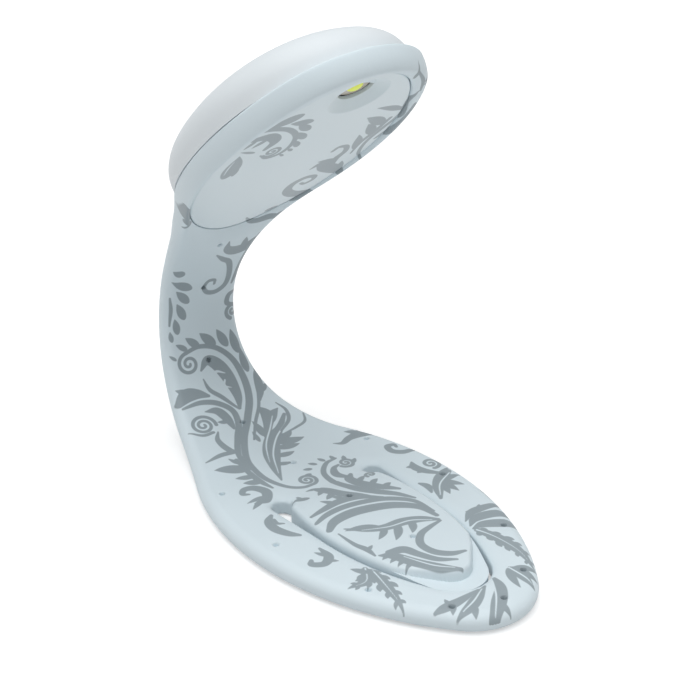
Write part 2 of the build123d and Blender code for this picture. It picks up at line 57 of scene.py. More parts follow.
cell_turn = math.radians(20)
head_start = bend_start + sum(bend_cells)


def smooth(x, low, high):
    """Eased step from 0 at low to 1 at high."""
    t = np.clip((x - low) / (high - low), 0, 1)
    return t * t * (3 - 2 * t)


def mix(a, b, share):
    """Value between a and b."""
    return a + (b - a) * share


def middle_line(stations):
    """Middle of the strap at each station: x, z and heading."""
    x = flat_origin - np.minimum(stations, bend_start)
    z = np.full_like(x, thickness / 2)
    heading = np.zeros_like(x)
    start = bend_start
    for cell in bend_cells:
        radius = cell / cell_turn
        turned = heading + np.clip(stations - start, 0, cell) / radius
        x = x - radius * (np.sin(turned) - np.sin(heading))
        z = z - radius * (np.cos(turned) - np.cos(heading))
        heading = turned
        start += cell
    beyond = np.maximum(stations - start, 0)
    return x - beyond * np.cos(heading), z + beyond * np.sin(heading), heading


def on_strap(flat, height):
    """Points of the bent strap, in metres, from stations, places across and heights over its middle."""
    x, z, heading = middle_line(flat[:, 0])
    bent = np.column_stack((x + height * np.sin(heading), flat[:, 1], z + height * np.cos(heading)))
    return bent * millimetre


def end_radius(run, half, side):
    """Radius of the arc round an end that runs into the side arc."""
    return (side**2 - run**2 - (side - half)**2) / (2 * (side - run))


def hollow_radius(run, rise, side):
    """Radius of the waist's arc that runs into the side arc."""
    return (run**2 + rise**2) / (2 * rise) - side


def between(centre, other, radius):
    """Station where two arcs meet on the line through their centres."""
    reach = math.hypot(other[0] - centre[0], other[1] - centre[1])
    return centre[0] + (other[0] - centre[0]) * radius / reach


base_wide, base_half, base_side_radius = 41.5, 23.5, 56.0
head_wide, head_half, head_side_radius = 159.3, 19.8, 43.0
waist, waist_half = 107.0, 8.6
base_side = (base_wide, base_half - base_side_radius)
head_side = (head_wide, head_half - head_side_radius)
base_tip_radius = end_radius(base_wide, base_half, base_side_radius)
head_tip_radius = end_radius(strap_length - head_wide, head_half, head_side_radius)
base_hollow = hollow_radius(waist - base_wide, base_half - waist_half, base_side_radius)
head_hollow = hollow_radius(head_wide - waist, head_half - waist_half, head_side_radius)
base_tip, head_tip = (base_tip_radius, 0.0), (strap_length - head_tip_radius, 0.0)
hollow_near, hollow_far = (waist, waist_half + base_hollow), (waist, waist_half + head_hollow)
strap_arcs = [
    (between(base_side, base_tip, base_side_radius), base_tip, base_tip_radius, 1),
    (between(base_side, hollow_near, base_side_radius), base_side, base_side_radius, 1),
    (waist, hollow_near, base_hollow, -1),
    (between(head_side, hollow_far, head_side_radius), hollow_far, head_hollow, -1),
    (between(head_side, head_tip, head_side_radius), head_side, head_side_radius, 1),
    (strap_length, head_tip, head_tip_radius, 1),
]
outline_step = 0.25


def arc(centre, radius, sense, first, last, step):
    """Points along one arc between two stations, on the +Y side, its last point left out."""
    turns = [math.acos(max(-1, min(1, (s - centre[0]) / radius))) for s in (first, last)]
    count = max(2, math.ceil(abs(turns[1] - turns[0]) * radius / step))
    angles = np.linspace(turns[0], turns[1], count + 1)[:-1]
    return np.column_stack((centre[0] + radius * np.cos(angles), centre[1] + sense * radius * np.sin(angles)))


def strap_side(first, last, step=outline_step):
    """Outline of the strap's +Y side between two stations."""
    runs, start = [], 0.0
    for end, centre, radius, sense in strap_arcs:
        low, high = max(start, first), min(end, last)
        if high > low + 1e-9:
            runs.append(arc(centre, radius, sense, low, high, step))
            final = (high, centre[1] + sense * math.sqrt(max(radius**2 - (high - centre[0])**2, 0)))
        start = end
    return np.vstack(runs + [[final]])


def other_side(line):
    """The same line on the -Y side, run the other way."""
    return (line * (1, -1))[::-1]


def straight(a, b):
    """Points from a towards b, both ends left out."""
    count = max(2, math.ceil(math.dist(a, b) / outline_step))
    return np.linspace(a, b, count + 1)[1:-1]


batch = 1200


def apart(flat, lines, far=7.0):
    """Distance from each point to the nearest of the lines, up to a limit."""
    a = np.vstack([line[:-1] for line in lines])
    b = np.vstack([line[1:] for line in lines])
    low, high = np.minimum(a[:, 0], b[:, 0]), np.maximum(a[:, 0], b[:, 0])
    nearest = np.full(len(flat), far)
    for part in np.array_split(np.argsort(flat[:, 0]), len(flat) // batch + 1):
        p = flat[part]
        if not len(p):
            continue
        near = (high > p[:, 0].min() - far) & (low < p[:, 0].max() + far)
        if near.any():
            run = b[near] - a[near]
            ahead = p[:, None] - a[near]
            share = np.clip((ahead * run).sum(2) / np.maximum((run**2).sum(1), 1e-12), 0, 1)
            gap = ahead - share[..., None] * run
            nearest[part] = np.minimum(far, np.sqrt((gap**2).sum(2)).min(1))
    return nearest


def inside(flat, loops):
    """Which points lie inside closed lines, holes left out."""
    a = np.vstack(loops)
    b = np.vstack([np.roll(loop, -1, 0) for loop in loops])
    low, high = np.minimum(a[:, 0], b[:, 0]), np.maximum(a[:, 0], b[:, 0])
    found = np.zeros(len(flat), bool)
    for part in np.array_split(np.argsort(flat[:, 0]), len(flat) // batch + 1):
        p = flat[part]
        if not len(p):
            continue
        near = (high >= p[:, 0].min()) & (low <= p[:, 0].max()) & (high > low)
        if near.any():
            c, d = a[near], b[near]
            spans = (c[:, 0] > p[:, None, 0]) != (d[:, 0] > p[:, None, 0])
            at = c[:, 1] + (p[:, None, 0] - c[:, 0]) * (d[:, 1] - c[:, 1]) / (d[:, 0] - c[:, 0])
            found[part] = (spans & (at > p[:, None, 1])).sum(1) % 2 == 1
    return found


def inwards(line, closed):
    """Unit vectors to the left of a line at each of its points."""
    ahead = np.roll(line, -1, 0) - np.roll(line, 1, 0) if closed else np.gradient(line, axis=0)
    ahead = ahead / np.linalg.norm(ahead, axis=1)[:, None]
    return np.column_stack((-ahead[:, 1], ahead[:, 0]))


front_step, back_step = 0.2, 1.5
edge_rows = (0.035, 0.11, 0.22, 0.36)
pin_rows = ((0.15, 6), (0.3, 10), (0.42, 14), (0.5, 16), (0.58, 18), (0.7, 20))
pin_clear = 0.82


def sheet(loops, soft, step, pins=()):
    """Triangles over a flat outline: its points, its triangles and each loop's point numbers."""
    borders = [np.vstack((loop, loop[:1])) for loop in loops]
    points, edges = [], []
    for loop in loops:
        first = sum(map(len, points))
        points.append(loop)
        edges += [(first + i, first + (i + 1) % len(loop)) for i in range(len(loop))]
    for line, closed in soft:
        for depth in edge_rows:
            row = (line + depth * inwards(line, closed))[0 if closed else 1:None if closed else -1]
            row = row[inside(row, loops)]
            points.append(row[apart(row, borders) > 0.9 * depth])
    low, high = loops[0].min(0), loops[0].max(0)
    rows = np.arange(low[0], high[0], step * math.sqrt(0.75))
    across = np.arange(low[1], high[1], step)
    lattice = np.array([(s, y + (k % 2) * step / 2) for k, s in enumerate(rows) for y in across])
    lattice = lattice[inside(lattice, loops)]
    # The lattice keeps about half a step from the outline, the rows along soft edges and the pins.
    clear = apart(lattice, borders) > 0.55 * min(step, outline_step)
    if soft:
        clear &= apart(lattice, [line if not closed else np.vstack((line, line[:1]))
                                 for line, closed in soft]) > max(edge_rows[-1] + 0.1, 0.45 * step)
    for pin in pins:
        clear &= np.hypot(*(lattice - pin).T) > max(pin_clear, 0.55 * step)
        angles = [(r, 2 * math.pi * (k + 0.5 * (n % 4)) / n) for r, n in pin_rows for k in range(n)]
        round_pin = [(pin[0] + r * math.cos(a), pin[1] + r * math.sin(a)) for r, a in angles]
        points.append(np.array([pin] + round_pin))
    points.append(lattice[clear])
    spots = [Vector(p) for p in np.vstack(points).tolist()]
    found, _, faces, origin, _, _ = delaunay_2d_cdt(spots, edges, [], 0, 1e-6)
    flat = np.array([v[:] for v in found])
    faces = np.array(faces)
    faces = faces[inside(flat[faces].mean(1), loops)]
    number = {old: new for new, olds in enumerate(origin) for old in olds}
    numbers, first = [], 0
    for loop in loops:
        numbers.append([number[first + i] for i in range(len(loop))])
        first += len(loop)
    return flat, faces, numbers


def band(upper, lower):
    """Wall faces between two closed rows of points that run round an outline anticlockwise."""
    count = len(upper)
    return [(upper[i], upper[(i + 1) % count], lower[(i + 1) % count], lower[i]) for i in range(count)]


def solid(name, points, faces, crease=50):
    """A smooth-shaded object from points and faces."""
    mesh = bpy.data.meshes.new(name)
    mesh.from_pydata(points, [], faces)
    mesh.validate()
    mesh.shade_smooth()
    mesh.set_sharp_from_angle(angle=math.radians(crease))
    made = bpy.data.objects.new(name, mesh)
    bpy.context.collection.objects.link(made)
    return made


def rounding(gap, width, drop):
    """How far a rounded edge has fallen at a distance in from the edge."""
    return drop * (1 - np.sqrt(1 - np.clip(1 - gap / width, 0, 1)**2))


pin_places = [(s, 0.0) for s in (3.4, 25.2, 42.4, 59.3, 76.7, 93.6, 111.0, 124.0)]
for s, y in ((58.0, 17.4), (38.4, 19.7), (18.6, 15.8), (6.9, 8.3)):
    pin_places += [(s, y), (s, -y)]
pin_depth, pin_flat, pin_lip = 0.9, 0.4, 0.62


def dimples(flat):
    """Depth of the small round marks that the mould's pins leave."""
    depth = np.zeros(len(flat))
    for pin in pin_places:
        depth += pin_depth * (1 - smooth(np.hypot(*(flat - pin).T), pin_flat, pin_lip))
    return depth


panel_centre, panel_half_length, panel_half_width, panel_power = 23.5, 28.4, 17.5, 1.88
panel_gap = 0.15


def panel_outline(grow):
    """The oval panel's outline on the strap, anticlockwise."""
    angles = np.linspace(0, 2 * math.pi, 521)[:-1]
    c, s = np.cos(angles), np.sin(angles)
    return np.column_stack((
        head_start + panel_centre + (panel_half_length + grow) * np.sign(c) * np.abs(c)**(2 / panel_power),
        (panel_half_width + grow) * np.sign(s) * np.abs(s)**(2 / panel_power)))


recess_edge = np.vstack((panel_outline(panel_gap), panel_outline(panel_gap)[:1]))
whole_side = strap_side(0, strap_length, 0.5)
strap_edges = [whole_side, other_side(whole_side)]
head_near = 118
panel_seat_level, crest_level, crest_run = 0.95, 1.5, (124, 146)
crest_slopes, slope_run = (5.0, 0.9), (126, 142)
edge_run, front_edges, front_rounds = (126, 144), (0.05, -2.05), (2.2, 1.45)
rim_back, back_run, back_edges, back_rounds = -2.7, (125, 133), (-0.15, -2.3), (1.5, 0.5)


def front_level(flat):
    """Height of the rubber's printed face, away from its rounded edges."""
    s = flat[:, 0]
    level = np.full(len(s), thickness / 2)
    near = s > head_near
    if near.any():
        crest = mix(thickness / 2, crest_level, smooth(s[near], *crest_run))
        slope = mix(*crest_slopes, smooth(s[near], *slope_run))
        rise = np.clip(apart(flat[near], [recess_edge]) / slope, 0, 1)
        level[near] = panel_seat_level + (crest - panel_seat_level) * (1 - (1 - rise)**2)
    return level


def strap_top(flat):
    """Height of the rubber's front over the strap's middle."""
    turn = smooth(flat[:, 0], *edge_run)
    level = front_level(flat)
    fall = level - mix(*front_edges, turn)
    return level - rounding(apart(flat, strap_edges), mix(*front_rounds, turn), fall) - dimples(flat)


def strap_bottom(flat):
    """Height of the rubber's back over the strap's middle."""
    turn = smooth(flat[:, 0], *edge_run)
    level = mix(-thickness / 2, rim_back, smooth(flat[:, 0], *back_run))
    rise = mix(*back_edges, turn) - level
    return level + rounding(apart(flat, strap_edges), mix(*back_rounds, turn), rise)


slit_tip, slit_tip_radius = (15.777, 0.0), 6.777
slit_side, slit_side_radius, slit_wide = (36.0, -38.2), 50.0, 36.0
relief, relief_radius = (48.4, 10.9), 1.9


def leaf_side(grow, last):
    """The +Y side of the tongue's leaf, from its tip, grown by half the slit."""
    tip, side = slit_tip_radius + grow, slit_side_radius + grow
    meet = between(slit_side, slit_tip, side)
    return np.vstack((arc(slit_tip, tip, 1, slit_tip[0] - tip, meet, outline_step),
                      arc(slit_side, side, 1, meet, last, outline_step)))


half_slit = 0.3
relief_angles = np.linspace(math.pi / 2, -math.pi / 2, 25)
relief_arc = np.column_stack((
    relief[0] + relief_radius * np.cos(relief_angles), relief[1] + relief_radius * np.sin(relief_angles)))
opening_wide = (slit_wide, slit_side[1] + slit_side_radius + half_slit)
opening_side = np.vstack((
    leaf_side(half_slit, slit_wide), [opening_wide],
    straight(opening_wide, (relief[0], relief[1] + relief_radius)), relief_arc))
root_line = straight(opening_side[-1], opening_side[-1] * (1, -1))
opening_line = np.vstack((other_side(opening_side)[:-1], opening_side))
opening = np.vstack((opening_line, root_line))
slit_slopes, slit_run, slit_fall = (2.7, 3.0), (44, 48), 1.05
under_round, under_rise = 0.9, 0.7


def ring_top(flat):
    """The ring's front, which falls towards the slit."""
    wide = mix(*slit_slopes, smooth(flat[:, 0], *slit_run))
    return strap_top(flat) - rounding(apart(flat, [opening_line]), wide, slit_fall)


def ring_bottom(flat):
    """The ring's back, rounded along the slit."""
    return strap_bottom(flat) + rounding(apart(flat, [opening_line]), under_round, under_rise)


def mark_print(made, values):
    """Writes the print's distances on a piece's first points and leaves the others bare."""
    attribute = made.data.attributes.new("print", "FLOAT", "POINT")
    others = np.ones(len(made.data.vertices) - len(values))
    attribute.data.foreach_set("value", np.concatenate((values, others)).astype(np.float32))


def strap_piece(name, loops, soft, top, bottom, pins=()):
    """A closed piece of the strap's rubber."""
    flat, faces, above = sheet(loops, soft, front_step, pins)
    under, under_faces, below = sheet(loops, soft, back_step)
    points = np.vstack((on_strap(flat, top(flat)), on_strap(under, bottom(under))))
    faces = faces[:, ::-1].tolist() + (under_faces + len(flat)).tolist()
    for upper, lower in zip(above, below):
        faces += band(upper, [len(flat) + i for i in lower])
    made = solid(name, points, faces)
    mark_print(made, printed(flat))
    return made


# The scroll print is grey ink, drawn here as strokes, leaves and spirals listed in millimetres
# along and across the flat strap. Bare strokes leave veins in it. Each piece takes its share of it.
scroll_print = []
print_place = np.array((0.0, 0.6))


def smooth_line(stops):
    """A smooth line through stops of station, place across and half width."""
    p = np.array(stops, float)
    p = np.vstack((2 * p[0] - p[1], p, 2 * p[-1] - p[-2]))
    t = np.linspace(0, 1, 10, endpoint=False)[:, None]
    runs = [b + 0.5 * t * (c - a + t * (2 * a - 5 * b + 4 * c - d + t * (3 * (b - c) + d - a)))
            for a, b, c, d in zip(p, p[1:], p[2:], p[3:])]
    return np.vstack(runs + [p[-2:-1]])


def stroke(*stops, bare=False):
    """A brush stroke of the print, or a bare line left in it."""
    line = smooth_line(stops)
    scroll_print.append((bare, line[:, :2] + print_place, np.maximum(line[:, 2], 0)))


def leaf(root, tip, width, bend=0.0):
    """A pointed leaf or petal, bent to its left."""
    root, run = np.array(root, float), np.subtract(tip, root)
    t = np.linspace(0, 1, 15)
    left = np.array((-run[1], run[0])) / np.hypot(*run)
    line = root + np.outer(t, run) + np.outer(4 * bend * t * (1 - t), left)
    scroll_print.append((False, line + print_place, width * np.sin(np.pi * t**0.75)))


def curl(centre, radius, start, turns, width):
    """A spiral that winds in to its centre from an angle in degrees."""
    t = np.linspace(0, 1, 60)
    angles = math.radians(start) + 2 * np.pi * turns * t
    reach = radius * (1 - 0.88 * t)
    line = np.array(centre) + np.column_stack((reach * np.cos(angles), reach * np.sin(angles)))
    scroll_print.append((False, line + print_place, width * (1 - 0.35 * t)))


def acanthus(spine, body, lobes, reach):
    """A curling leaf with pointed lobes that lean forward and a bare vein."""
    line = smooth_line([(s, y, 0) for s, y in spine])[:, :2]
    along = np.linspace(0, 1, len(line))
    scroll_print.append((False, line + print_place, body * np.sin(np.pi * (0.06 + 0.94 * along)**0.8)))
    for k in range(lobes):
        share = (k + 0.5) / lobes
        i = int(share * (len(line) - 2))
        ahead = (line[i + 1] - line[i]) / np.hypot(*(line[i + 1] - line[i]))
        size = reach * (1 - 0.55 * abs(2 * share - 0.9))
        for side in (1, -1):
            left = side * np.array((-ahead[1], ahead[0]))
            tip = line[i] + size * (0.6 * ahead + 0.9 * left)
            leaf(line[i] - 0.3 * size * ahead, tip, 0.34 * size, 0.22 * size * side)
    vein, last = 0.14, int(0.85 * len(line))
    scroll_print.append((True, line[:last] + print_place, vein * (1.1 - along[:last])))


# Print on the ring, far side from the tip: palmette, long leaf, stem leaf, fan, curls and drop
leaf((9.0, 6.3), (2.1, 5.3), 0.9, -0.3)
leaf((8.6, 6.6), (3.3, 7.3), 0.8, -0.2)
leaf((8.2, 6.8), (5.3, 9.4), 0.8, -0.2)
leaf((8.8, 5.9), (3.6, 3.5), 0.7, 0.3)
stroke((8.8, 6.2, 0.16), (5.4, 6.3, 0.16), (3.2, 5.9, 0.05), bare=True)
acanthus(((20.6, 10.4), (16.0, 11.3), (11.0, 11.2), (5.8, 9.5)), 1.15, 6, 1.9)
stroke((16.6, 17.2, 0.5), (18.8, 15.8, 1.2), (20.8, 12.8, 1.0), (21.3, 10.4, 0.2))
stroke((20.3, 19.0, 0.9), (22.4, 16.4, 1.1), (23.2, 12.8, 0.9), (22.3, 10.6, 0.15))
stroke((24.0, 20.0, 0.5), (24.9, 16.8, 0.8), (25.1, 13.6, 0.8), (23.9, 11.0, 0.1))
leaf((25.0, 15.4), (26.2, 16.6), 0.4)
leaf((25.0, 13.8), (25.9, 12.9), 0.4)
leaf((24.6, 20.3), (30.6, 21.0), 0.35)
stroke((32.2, 12.8, 0.25), (35.0, 14.8, 1.0), (37.4, 17.8, 1.3), (38.6, 20.6, 0.7))
for tip in ((32.2, 15.1), (32.0, 17.2), (33.0, 19.6), (36.2, 21.6), (39.6, 21.6)):
    leaf((36.9, 16.4), tip, 0.85, -0.2)
stroke((34.8, 12.9, 0.15), (36.8, 13.7, 0.65), (38.6, 13.2, 0.15))
stroke((33.0, 13.4, 0.1), (36.0, 16.2, 0.16), (37.9, 20.4, 0.12), bare=True)
curl((42.7, 20.0), 1.9, 200, -1.6, 0.34)
stroke((39.0, 18.8, 0.4), (41.2, 17.2, 0.8), (43.4, 16.6, 0.9), (45.3, 17.4, 0.15))
leaf((41.6, 17.4), (41.6, 15.5), 0.5)
leaf((43.6, 17.0), (44.4, 15.2), 0.5)
stroke((48.9, 21.0, 0.5), (49.4, 18.8, 0.7), (51.0, 17.4, 0.7), (52.9, 17.9, 0.6), (52.7, 19.4, 0.4),
       (51.7, 19.2, 0.25))
stroke((58.4, 19.8, 0.25), (60.1, 17.2, 1.1), (60.2, 14.2, 0.8), (59.4, 11.8, 0.5), (60.4, 10.2, 0.05))
leaf((60.0, 17.4), (62.9, 15.0), 0.8, 0.3)
leaf((60.0, 16.4), (62.2, 18.0), 0.5)

# Print on the ring, near side from the tip: palmette, branch, hook, crescent and hanging curl
stroke((8.5, 2.3, 0.2), (5.6, 0.9, 0.9), (3.0, -2.2, 1.2), (0.9, -5.4, 0.7))
stroke((7.8, -0.6, 0.2), (6.0, -4.0, 0.9), (4.8, -7.0, 0.9), (4.5, -9.9, 0.1))
stroke((7.7, -2.2, 0.15), (7.2, -6.2, 0.65), (7.2, -9.4, 0.9), (7.6, -11.9, 0.2))
leaf((3.2, -2.4), (0.1, -2.3), 0.6)
leaf((5.0, -6.0), (2.7, -7.6), 0.6)
leaf((7.2, -8.4), (5.5, -10.0), 0.5)
leaf((7.2, -9.0), (8.9, -8.6), 0.4)
stroke((8.2, 1.6, 0.1), (4.6, -1.2, 0.16), (1.2, -4.8, 0.1), bare=True)
stroke((7.4, -1.6, 0.1), (5.8, -5.0, 0.15), (4.8, -8.4, 0.1), bare=True)
acanthus(((22.6, -12.2), (17.0, -13.6), (11.2, -15.2)), 0.95, 5, 1.9)
acanthus(((23.6, -12.8), (20.6, -15.2), (20.9, -18.8)), 1.0, 4, 1.8)
leaf((22.2, -13.4), (24.8, -15.0), 0.6)
stroke((32.8, -15.2, 0.2), (30.0, -15.5, 0.8), (28.7, -17.4, 0.7), (29.8, -19.2, 0.6), (30.8, -18.6, 0.3))
leaf((30.2, -15.6), (32.4, -16.7), 0.4)
leaf((29.2, -16.4), (27.9, -15.0), 0.35)
stroke((38.2, -15.3, 0.3), (39.8, -16.6, 0.75), (42.5, -17.5, 0.9), (45.0, -17.0, 0.75),
       (46.5, -15.3, 0.25))
stroke((42.9, -15.2, 0.15), (43.6, -16.1, 0.3), (45.0, -15.8, 0.2))
stroke((51.3, -15.2, 0.25), (51.6, -12.7, 0.8), (53.6, -11.3, 0.95), (55.9, -12.2, 0.85),
       (56.6, -14.0, 0.65),
       (55.5, -15.2, 0.45), (54.7, -14.3, 0.2))
leaf((52.0, -13.2), (50.0, -16.8), 0.5)
leaf((52.6, -12.6), (52.3, -16.4), 0.45)

# Print on the tongue: feathered leaf, crescent round a bare oval, veined leaf and the double stems
stroke((12.8, -0.9, 0.2), (15.0, -3.2, 0.95), (18.5, -5.6, 1.15), (22.6, -7.4, 0.9), (24.2, -9.2, 0.15))
stroke((15.3, 0.4, 0.2), (17.4, -2.2, 0.6), (20.5, -3.7, 0.75), (23.0, -4.7, 0.95), (23.8, -7.2, 0.7))
stroke((13.8, -1.6, 0.1), (16.6, -4.0, 0.17), (21.4, -6.1, 0.1), bare=True)
for k in range(4):
    leaf((19.2 + 1.3 * k, -5.6 - 0.5 * k), (18.4 + 1.5 * k, -8.4 - 0.4 * k), 0.4, 0.2)
stroke((16.3, 3.3, 0.25), (17.2, 0.8, 0.65), (19.4, -1.1, 0.75), (22.4, -1.3, 0.7), (24.7, 0.8, 0.6),
       (25.5, 3.6, 0.45), (25.9, 6.6, 0.2))
stroke((26.4, 6.6, 0.3), (28.4, 4.2, 0.9), (29.7, 1.0, 1.1), (30.2, -2.5, 0.9), (31.7, -5.8, 0.6),
       (34.2, -8.6, 0.1))
leaf((29.2, 2.4), (26.0, 0.0), 0.7, -0.3)
leaf((29.8, -0.2), (26.0, -3.8), 0.75, -0.3)
leaf((30.2, -2.6), (28.0, -6.0), 0.6, -0.2)
leaf((30.4, -3.0), (33.6, -8.9), 0.9, 0.5)
stroke((27.0, 5.6, 0.1), (29.2, 2.4, 0.16), (30.0, -2.0, 0.14), (32.0, -6.4, 0.08), bare=True)
stroke((24.6, -9.8, 0.15), (27.0, -9.7, 0.55), (29.4, -10.3, 0.4), (33.6, -10.4, 0.1))
leaf((26.6, -9.8), (27.3, -8.1), 0.35)
stroke((27.6, 7.3, 0.4), (31.6, 6.7, 0.75), (34.7, 3.8, 1.0), (36.5, 0.0, 1.1), (37.5, -4.4, 1.1),
       (37.1, -8.4, 0.9), (35.4, -11.0, 0.5))
stroke((29.0, 7.9, 0.2), (33.7, 7.4, 0.5), (37.2, 4.2, 0.65), (39.0, 0.2, 0.65), (39.9, -4.0, 0.65),
       (39.7, -8.0, 0.55), (38.6, -11.3, 0.3))
stroke((38.2, 3.8, 0.2), (41.0, 0.2, 0.75), (41.9, -3.6, 0.8), (41.4, -7.6, 0.55), (40.8, -10.8, 0.2))
leaf((41.6, -2.0), (44.6, -3.6), 0.5)
leaf((41.6, -4.2), (44.0, -6.2), 0.5)
stroke((34.4, 8.3, 0.2), (37.5, 6.6, 0.6), (40.5, 4.1, 0.8), (44.0, 1.7, 0.8), (48.0, 0.8, 0.65),
       (52.2, 1.3, 0.5),
       (55.0, 4.0, 0.4), (55.5, 6.8, 0.2))
stroke((38.6, 8.2, 0.3), (41.4, 5.8, 0.9), (44.4, 3.8, 1.1), (47.4, 3.6, 0.9), (49.0, 5.2, 0.3))
for k in range(3):
    leaf((40.6 + 2.3 * k, 6.4 - 1.1 * k), (41.2 + 2.6 * k, 8.4 - 1.0 * k), 0.55, -0.2)
curl((46.0, 7.6), 1.1, 250, 1.2, 0.26)
stroke((38.8, 2.8, 0.3), (41.2, 0.8, 0.8), (44.0, -1.5, 0.95), (47.0, -2.8, 1.05), (48.7, -3.9, 0.4),
       (49.1, -5.4, 0.05))
leaf((45.0, -2.2), (43.8, -4.8), 0.6)
leaf((47.4, -2.8), (46.0, -5.0), 0.5)
leaf((46.4, -6.8), (47.6, -9.8), 0.6)
leaf((46.8, -8.0), (48.7, -8.2), 0.35)

# Print on the web behind the tongue: two spirals, a fringe of petals and the start of the stem
curl((53.0, 7.3), 1.7, 250, -1.7, 0.3)
stroke((48.3, 4.3, 0.3), (50.5, 3.0, 0.8), (52.6, 4.0, 0.5), (53.2, 5.6, 0.2))
for k in range(7):
    turn = math.radians(-62 + 24 * k)
    root = (51.6 + 4.4 * math.cos(turn), 3.6 + 4.9 * math.sin(turn))
    leaf(root, (root[0] + 1.7 * math.cos(turn - 0.5), root[1] + 1.7 * math.sin(turn - 0.5)), 0.42)
curl((52.3, -2.7), 1.9, 170, -1.8, 0.32)
stroke((50.4, -2.4, 0.3), (50.7, -5.0, 0.35), (52.8, -7.2, 0.4), (57.0, -8.5, 0.5), (61.5, -8.2, 0.55),
       (66.0, -6.9, 0.6), (72.0, -3.4, 0.65), (77.0, 0.7, 0.7), (82.0, 4.2, 0.75), (87.0, 5.6, 0.75),
       (92.0, 4.9, 0.6), (95.6, 2.0, 0.5), (97.1, -2.0, 0.42), (96.5, -5.6, 0.36))
curl((94.0, -5.3), 2.5, 0, -1.7, 0.34)

# Print on the neck: the great leaf, stems, spirals, a fringe of petals and leaves along the edges
stroke((55.2, -6.5, 0.1), (60.0, -4.4, 1.0), (65.0, -1.6, 1.7), (69.2, 1.6, 1.5), (71.6, 5.0, 0.8),
       (75.0, 8.6, 0.3))
for root, tip, width in (((60.8, -3.6), (59.6, -0.6), 0.6), ((63.2, -1.6), (62.7, 2.2), 0.8),
                         ((65.8, 0.4), (64.6, 5.0), 1.0), ((67.4, 1.6), (66.2, 7.3), 1.2),
                         ((68.6, 2.6), (69.4, 6.4), 0.9)):
    leaf(root, tip, width, 0.3)
stroke((70.4, 1.0, 0.5), (73.4, 3.4, 0.9), (76.4, 5.2, 1.3), (79.0, 4.9, 0.2))
leaf((73.6, 3.8), (77.2, 8.5), 1.1, -0.4)
leaf((70.8, 0.6), (76.0, 1.2), 0.8, 0.3)
leaf((69.6, -1.2), (73.2, -0.6), 0.45)
stroke((57.6, -5.4, 0.08), (64.0, -1.9, 0.18), (69.0, 2.4, 0.18), (72.2, 6.8, 0.14),
       (74.0, 8.6, 0.08), bare=True)
stroke((62.0, -4.2, 0.08), (68.0, -0.8, 0.16), (72.6, 3.4, 0.16), (75.6, 6.0, 0.1), bare=True)
stroke((69.3, 4.0, 0.1), (70.0, 8.0, 0.24), (71.0, 11.0, 0.24), (73.6, 12.5, 0.1))
stroke((70.6, 4.8, 0.2), (73.0, 8.3, 0.34), (76.0, 9.7, 0.3), (78.8, 9.0, 0.08))
stroke((54.0, -9.5, 0.2), (57.0, -9.9, 0.55), (61.0, -9.7, 0.55), (66.8, -8.8, 0.3))
leaf((57.0, -9.8), (58.6, -12.8), 0.85)
leaf((59.4, -9.8), (60.9, -13.0), 0.75)
leaf((62.2, -9.4), (65.9, -14.4), 1.5, 0.4)
leaf((64.8, -9.0), (67.9, -9.9), 0.5)
stroke((62.0, -8.9, 0.2), (68.0, -7.4, 0.5), (73.0, -4.3, 0.6), (76.5, -1.8, 0.6), (80.4, -0.8, 0.6),
       (83.4, -2.8, 0.6), (84.8, -6.2, 0.5), (84.7, -10.4, 0.2))
stroke((70.8, -1.8, 0.15), (75.6, 1.8, 0.28), (79.2, 4.9, 0.28), (83.4, 7.2, 0.28), (88.8, 9.2, 0.1))
stroke((85.8, -3.8, 0.3), (87.0, -6.0, 1.1), (87.3, -8.4, 1.5), (86.0, -10.6, 0.7))
leaf((87.0, -6.2), (89.3, -10.0), 0.9, -0.3)
stroke((75.8, -3.3, 0.3), (79.0, -3.1, 0.95), (81.6, -3.9, 0.9), (82.4, -6.4, 0.05))
leaf((78.0, -3.6), (78.8, -5.4), 0.45)
curl((79.2, -8.6), 2.7, 110, -2.1, 0.33)
stroke((76.6, -7.8, 0.3), (76.7, -10.2, 0.3), (78.6, -12.4, 0.08))
stroke((68.6, -6.7, 0.1), (70.2, -8.0, 0.65), (74.0, -8.3, 0.5), (76.3, -6.9, 0.1))
stroke((69.2, -7.4, 0.5), (69.7, -10.4, 0.55), (69.1, -14.3, 0.08))
stroke((80.4, 1.0, 0.2), (84.0, 2.3, 0.95), (88.4, 2.3, 1.45), (91.8, 1.1, 1.45), (93.6, -1.0, 0.95),
       (91.8, -3.1, 0.15))
stroke((86.0, 2.0, 0.08), (86.9, 0.7, 0.24), (88.2, 1.3, 0.2), bare=True)
stroke((89.7, 2.0, 0.1), (90.6, 0.2, 0.3), (89.7, -1.2, 0.25), bare=True)
stroke((80.4, 0.8, 0.2), (84.4, -1.1, 0.45), (87.0, -2.9, 0.4), (89.8, -3.3, 0.08))
for root, tip, width in (((88.4, 7.2), (94.4, 7.3), 0.9), ((93.3, 6.7), (99.0, 5.9), 1.0),
                         ((95.5, 4.5), (99.8, 2.6), 0.95), ((96.5, 1.7), (100.0, -1.5), 1.0),
                         ((97.1, -2.1), (99.8, -4.9), 0.8), ((97.1, -5.0), (98.9, -7.3), 0.55),
                         ((95.5, -7.9), (96.8, -9.0), 0.28)):
    leaf(root, tip, width)
stroke((80.8, 6.2, 0.2), (83.4, 7.7, 0.85), (86.8, 8.8, 0.85), (88.4, 9.2, 0.15))
leaf((82.8, 7.6), (84.6, 10.2), 0.6)
curl((103.2, 6.9), 1.8, 200, 1.5, 0.38)
stroke((104.6, 7.4, 0.15), (105.4, 5.5, 0.5), (107.4, 5.9, 0.5), (107.9, 7.6, 0.25))
